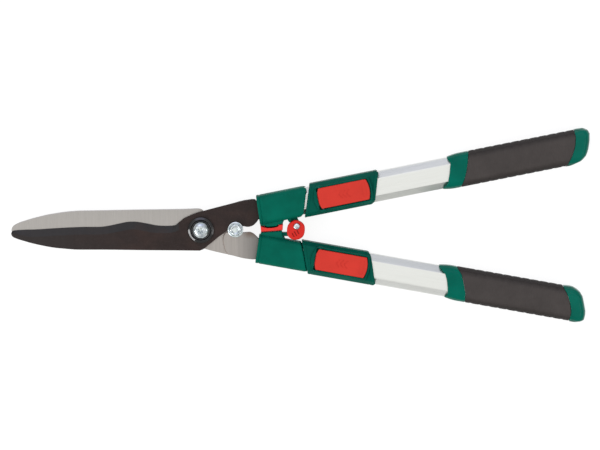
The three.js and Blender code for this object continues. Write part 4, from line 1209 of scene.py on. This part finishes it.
def lever(name):
    l0, l1, v0, v1 = SL[name]["lever"]
    u, heel = PIN_U[name], 3.9
    d0, d1, d2 = (0.9, 0.1, 0.8) if name == "upper" else (0.5, 0.2, 0.3)
    v0, v1, l1 = v0 + d0, v1 - d1, l1 - d2
    p = paddle_plan(l0, l1, v0, v1, 2.6, 3.1, 0, name)
    pv, pf = rprism(p, 28.3, 32.5, 0.4, 0.9, 5)
    body = temp(pv, pf)
    keep = box_tool(name, u, l1 + 5, -30, 30, 20, 40)
    keep = boolean(keep, cross_rod(name, heel, -30, 30, u, 30.2, 56), "UNION")
    body = boolean(body, keep, "INTERSECT")
    hl = cross_rod(name, heel, v0 + 1.2, v1 - 1.2, u, 30.2, 56, chamfer=0.5)
    hl = boolean(hl, box_tool(name, u - 9, u + 9, -30, 30, 20, 32.45), "INTERSECT")
    hl = boolean(hl, plan_tool(paddle_plan(l0 + 0.05, l1, v0 + 0.2, v1 - 0.2, 2.6, 3.1, 0, name), 20, 40), "INTERSECT")
    body = boolean(body, hl, "UNION")
    # generic sunk chevrons and a shallow finger step near the free end
    cuts = []
    um, vm = (l0 + l1) / 2 - 6, (v0 + v1) / 2
    for k in range(3):
        for sg in (-1, 1):
            o = um + 4.6 * k
            q = to_model(name, [[o, vm + sg * 0.25], [o + 1.3, vm + sg * 0.25], [o + 4.6, vm + sg * 4.6], [o + 3.3, vm + sg * 4.6]])
            cuts.append(temp(*rprism(ccw(np.array(q)), 32.1, 34)))
    q = paddle_plan(l0 + 53.4, l1 - 4.0, v0 + 4, v1 - 4, 0.5, 1.0, 0, name)
    body = boolean(body, cuts + [plan_tool(q, 32.2, 36), cross_rod(name, 1.8, -30, 30, u, 30.2)])
    finish_named(body, f"{name}_clamp_lever_fine", [RED], f"{name}_lever", f"{name}_clamp_lever", "red_plastic", 32)
    v, f = cross_rod(name, 1.5, v0 - 1.9, v1 + 1.9, u, 30.2, 32, tool=False, chamfer=0.25)
    make(f"{name}_lever_pin_fine", v, f, [PIN_STEEL], f"{name}_slider", f"{name}_lever_pin", "zinc", 30)


for _n in SIDE:
    housing(_n)
    lever(_n)


# ---------------------------------------------------------------- grips
GRIP_SEC = [[-11.8, 0], [11.8, 0], [17.3, 2.9], [20.0, 8.6], [20.3, 15], [20.0, 21.4], [17.3, 26.9], [12.2, 29.4], [5, 30], [-5, 30], [-12.2, 29.4],
            [-17.3, 26.9], [-20.0, 21.4], [-20.3, 15], [-20.0, 8.6], [-17.3, 2.9]]
GRIP = {
    "upper": dict(front=[[354.9, 20.3], [355.6, 17.8], [357.3, 15.1], [358.2, 11.8], [355.2, 0.7], [350.6, -12.0], [347.2, -16.2], [343.4, -20.3]],
                  s1=[[381.5, 20.3], [378.3, 8.3], [375.3, -1.0], [371.2, -10.1], [364.9, -20.3]],
                  s2=[[509.6, 20.3], [509.9, 12.9], [507.1, 1.3], [500.8, -10.0], [493.5, -20.3]],
                  end=[[517.6, 20.3], [522.6, 19.6], [526.0, 17.0], [527.2, 13.0], [525.4, 3.8], [521.7, -6.6], [517.2, -14.0], [512.0, -17.2],
                       [506.0, -19.0], [501.0, -20.3]]),
    "lower": dict(front=[[350.4, 20.3], [352.2, 18.2], [354.0, 15.6], [352.6, 6.5], [350.1, -2.3], [346.9, -9.6], [342.0, -14.8], [337.6, -20.3]],
                  s1=[[375.7, 20.3], [374.4, 8.1], [370.7, -1.6], [366.0, -12.6], [359.2, -20.3]],
                  s2=[[501.8, 20.3], [502.6, 8.5], [498.8, -2.6], [493.8, -12.1], [487.3, -20.3]],
                  end=[[511.6, 20.3], [517.0, 18.6], [519.8, 15.9], [519.9, 6.8], [516.8, -1.8], [513.3, -10.9], [510.5, -15.2], [506.4, -18.0],
                       [501.6, -20.3]]),
}


def grip(name):
    g, side = GRIP[name], SIDE[name]
    slider = f"{name}_slider"
    t1 = {"upper": 505.0, "lower": 499.0}[name]
    sec = rounded(GRIP_SEC, 3.5, 3)

    def bore():
        return bar_tool(name, octagon(**TUBE, grow=0.3), 300, t1 + 0.3)
    # front collar
    sl = Sleeve(name, sec, g["front"], g["s1"], 34)
    def nose(extra=0.0):
        """The collar draws in towards its front, most on the flanks."""
        def f(u, ring):
            k = np.clip(1 - (u - sl.a) / 15.0, 0, 1)
            flank = np.clip((np.abs(ring[:, 0]) - 9) / 9.0, 0, 1)
            return (0.55 + 1.35 * flank) * k ** 1.8 + extra
        return f
    st = [("a", 0.0, nose(1.0)), ("a", 0.12, nose(0.55)), ("a", 0.4, nose(0.2)), ("a", 0.9, nose(0.02))]
    st += [("a", d, nose()) for d in (1.8, 3.2, 5, 7, 9.2, 11.5, 14, 16)]
    st += [("b", 1.6, 0.0), ("b", 0.7, 0.12), ("b", 0.2, 0.3), ("b", 0.0, 0.5)]
    ob = boolean(temp(*sl.solid(st)), bore())
    finish_named(ob, f"{name}_grip_collar_fine", [GREEN_GLOSS], slider, f"{name}_grip_collar", "green_plastic", 32)
    # soft sleeve with scalloped flanks
    sl = Sleeve(name, sec, shifted(g["s1"], 0.3), shifted(g["s2"], -0.3), 34)
    u_first = {"upper": 389.1, "lower": 382.6}[name]

    def scallop(u, ring):
        flank = np.clip((np.abs(ring[:, 0]) - 12.6) / 4.0, 0, 1)
        flank = flank * flank * (3 - 2 * flank)
        ph = (u - u_first) / 11.0
        d = np.abs(ph - np.round(ph)) * 11.0
        inside_ = (u > u_first - 5) & (u < g["s2"][-1][0] + 10)
        return flank * inside_ * (0.45 * np.exp(-(d / 1.5) ** 2) - 0.07)
    st = [("a", 0.0, 0.65), ("a", 0.25, 0.25), ("a", 0.8, 0.05), ("a", 1.6, 0.0)]
    K = 170
    st += [("f", 0.015 + 0.97 * k / K, scallop) for k in range(K + 1)]
    st += [("b", 1.6, 0.0), ("b", 0.8, 0.05), ("b", 0.25, 0.25), ("b", 0.0, 0.65)]
    ob = boolean(temp(*sl.solid(st)), bore())
    finish_named(ob, f"{name}_grip_sleeve_fine", [RUBBER[name]], slider, f"{name}_grip_sleeve", "grip_rubber", 40)
    # end cap: swells a little past the sleeve, faint crease, then a rounded end
    sl = Sleeve(name, sec, g["s2"], g["end"], 34)
    def swell(inset, out):
        """Inset all round, with the flanks standing out."""
        def f(u, ring):
            k = np.clip((np.abs(ring[:, 0]) - 10) / 8.0, 0, 1)
            return inset - out * k * k * (3 - 2 * k)
        return f
    st = [("a", 0.0, 0.5), ("a", 0.2, 0.2), ("a", 0.7, 0.05), ("a", 1.6, swell(0, 0.05)), ("f", 0.2, swell(0, 0.25)), ("f", 0.35, swell(0, 0.45))]
    st += [("b", 9.4, swell(0, 0.6)), ("b", 9.0, swell(0.1, 0.6)), ("b", 8.4, swell(0.1, 0.6)), ("b", 8.0, swell(0, 0.6)), ("b", 6.8, swell(0, 0.65), 0.995),
           ("b", 5.2, swell(0, 0.6), 0.965), ("b", 3.6, swell(0.05, 0.55), 0.90), ("b", 2.2, swell(0.15, 0.45), 0.80),
           ("b", 1.1, swell(0.4, 0.35), 0.66), ("b", 0.4, swell(0.7, 0.25), 0.48), ("b", 0.05, swell(1.2, 0.2), 0.3)]
    ob = boolean(temp(*sl.solid(st)), bore())
    plug = octagon(**TUBE, grow=-TUBE["wall"] - 0.3, r=0.8)
    ob = boolean(ob, bar_tool(name, plug, t1 - 6.2, t1 + 2), "UNION")
    finish_named(ob, f"{name}_grip_end_cap_fine", [GREEN_CAP], slider, f"{name}_grip_end_cap", "green_plastic", 32)


for _n in SIDE:
    grip(_n)


# ---------------------------------------------------------------- lock knob
def knob():
    o = np.array([[113.4, 11.2], [119.2, 9.2], [122.9, 5.3], [123.8, 0.9], [123.1, -4.7], [121.2, -8.5], [116.7, -11.6], [111, -12.2],
                  [106.2, -10.3], [103.3, -7.1], [102.4, -3.2], [102.8, 2.2], [104.7, 6.6], [108.9, 9.9]])
    loop = resample(spline(o, 10, closed=True), 110)
    v, f = rprism(loop, 19.9, 26.9, 0.8, 1.5, 6)
    body = temp(v, f)
    marks = []
    c = np.array([112.6, -4.6])
    a = 0.5
    d, n_ = np.array([math.cos(a), math.sin(a)]), np.array([-math.sin(a), math.cos(a)])
    for s in (-1, 0, 1):
        q = [c + d * x + n_ * y + d * s * 3.3 for x, y in ((-0.7, -3.0 + abs(s) * 0.6), (0.7, -3.0 + abs(s) * 0.6), (0.7, 3.0 - abs(s) * 0.6), (-0.7, 3.0 - abs(s) * 0.6))]
        marks.append(temp(*rprism(ccw(np.array(q)), 24.7, 28)))
    body = boolean(body, marks)
    body = boolean(body, [rod_tool(KNOB, 2.3, 10, 40), rod_tool(KNOB, 4.1, 26.55, 40, 48)])
    finish_named(body, "lock_knob_fine", [RED_KNOB], "lock_knob", "lock_knob", "red_plastic", 32)


knob()


# ---------------------------------------------------------------- floor, light, camera
def backdrop():
    me = bpy.data.meshes.new("floor")
    s = 90.0
    me.from_pydata([(-s, -s, 0), (s, -s, 0), (s, s, 0), (-s, s, 0)], [], [(0, 1, 2, 3)])
    ob = bpy.data.objects.new("floor", me)
    bpy.context.scene.collection.objects.link(ob)
    m = bpy.data.materials.new("paper")
    m.use_nodes = True
    b = m.node_tree.nodes["Principled BSDF"]
    b.inputs["Base Color"].default_value = (0.18, 0.18, 0.18, 1)
    b.inputs["Roughness"].default_value = 0.9
    b.inputs["Specular IOR Level"].default_value = 0.1
    b.inputs["Emission Color"].default_value = (1, 1, 1, 1)
    b.inputs["Emission Strength"].default_value = 0.88
    me.materials.append(m)
    return ob


backdrop()

scene = bpy.context.scene
scene.view_settings.view_transform = "Standard"
world = bpy.data.worlds.new("studio")
scene.world = world
world.use_nodes = True
_t = world.node_tree
_bg = _t.nodes["Background"]
_tc = _t.nodes.new("ShaderNodeTexCoord")
_sx = _t.nodes.new("ShaderNodeSeparateXYZ")
_t.links.new(_tc.outputs["Generated"], _sx.inputs[0])
_r = _t.nodes.new("ShaderNodeValToRGB")
_mr = _t.nodes.new("ShaderNodeMapRange")
_mr.inputs["From Min"].default_value, _mr.inputs["From Max"].default_value = -1, 1
_t.links.new(_sx.outputs["Y"], _mr.inputs["Value"])
_t.links.new(_mr.outputs["Result"], _r.inputs[0])
_e = _r.color_ramp.elements
_e[0].position, _e[0].color = 0.0, (0.44, 0.44, 0.437, 1)
_e[1].position, _e[1].color = 1.0, (0.53, 0.545, 0.60, 1)
_m = _e.new(0.5)
_m.color = (0.93, 0.93, 0.915, 1)
# the two ends of the studio, beyond the tips and the grips, are dark
_ax = _t.nodes.new("ShaderNodeMath")
_ax.operation = "ABSOLUTE"
_t.links.new(_sx.outputs["X"], _ax.inputs[0])
_dk = _t.nodes.new("ShaderNodeMapRange")
for _k, _v in (("From Min", 0.45), ("From Max", 0.85), ("To Min", 1.0), ("To Max", 0.36)):
    _dk.inputs[_k].default_value = _v
_t.links.new(_ax.outputs[0], _dk.inputs["Value"])
_mx = _t.nodes.new("ShaderNodeMix")
_mx.data_type, _mx.blend_type = "RGBA", "MULTIPLY"
_mx.inputs[0].default_value = 1.0
_t.links.new(_r.outputs["Color"], _mx.inputs[6])
_t.links.new(_dk.outputs["Result"], _mx.inputs[7])
_col = _mx.outputs[2]
for _az, _el, _half, _add in ((95, 44, 17, (0.7, 0.7, 1.0)), (150, 62, 7, (1.0, 1.0, 1.0))):
    _a, _b = math.radians(_az), math.radians(_el)
    _dot = _t.nodes.new("ShaderNodeVectorMath")
    _dot.operation = "DOT_PRODUCT"
    _dot.inputs[1].default_value = (math.cos(_a) * math.cos(_b), math.sin(_a) * math.cos(_b), math.sin(_b))
    _t.links.new(_tc.outputs["Generated"], _dot.inputs[0])
    _mk = _t.nodes.new("ShaderNodeMapRange")
    _mk.interpolation_type = "SMOOTHSTEP"
    _mk.inputs["From Min"].default_value = math.cos(math.radians(_half * 1.25))
    _mk.inputs["From Max"].default_value = math.cos(math.radians(_half * 0.8))
    _t.links.new(_dot.outputs["Value"], _mk.inputs["Value"])
    _ad = _t.nodes.new("ShaderNodeMix")
    _ad.data_type, _ad.blend_type = "RGBA", "ADD"
    _t.links.new(_mk.outputs["Result"], _ad.inputs[0])
    _t.links.new(_col, _ad.inputs[6])
    _ad.inputs[7].default_value = (*_add, 1)
    _col = _ad.outputs[2]
_t.links.new(_col, _bg.inputs["Color"])
_bg.inputs["Strength"].default_value = 1.2


def area_light(name, loc, target, size, power, col=(1, 1, 1)):
    d = bpy.data.lights.new(name, "AREA")
    d.shape, d.size, d.size_y, d.energy, d.color = "RECTANGLE", size[0], size[1], power, col
    ob = bpy.data.objects.new(name, d)
    ob.location = loc
    ob.rotation_euler = (Vector(target) - Vector(loc)).to_track_quat("-Z", "Y").to_euler()
    scene.collection.objects.link(ob)
    return ob


def softbox(name, az, el, reach, size, radiance):
    a, b = math.radians(az), math.radians(el)
    loc = Vector((0.06 + reach * math.cos(a) * math.cos(b), reach * math.sin(a) * math.cos(b), reach * math.sin(b)))
    return area_light(name, loc, (0.06, 0, 0), size, radiance * math.pi * size[0] * size[1])


softbox("key", 212, 40, 2.0, (1.6, 0.34), 9)
softbox("side", -10, 38, 2.0, (1.0, 0.26), 4)

TILT = math.radians(5.6)
ROLL = math.radians(-0.615)
LENS, WIDTH = 340.0, 0.714
dist = WIDTH * LENS / 36.0
centre = Vector((0.11804, 0.00439, 0.015))
cam_d = bpy.data.cameras.new("main_camera")
cam_d.lens, cam_d.sensor_width, cam_d.sensor_fit = LENS, 36.0, "HORIZONTAL"
cam = bpy.data.objects.new("main_camera", cam_d)
view = Vector((0, math.sin(TILT), math.cos(TILT)))
right = Vector((math.cos(ROLL), math.sin(ROLL), 0))
right = (right - view * right.dot(view)).normalized()
up = view.cross(right)
cam.matrix_world = Matrix.Translation(centre + view * dist) @ Matrix((right, up, view)).transposed().to_4x4()
scene.collection.objects.link(cam)
scene.camera = cam

bpy.context.view_layer.update()
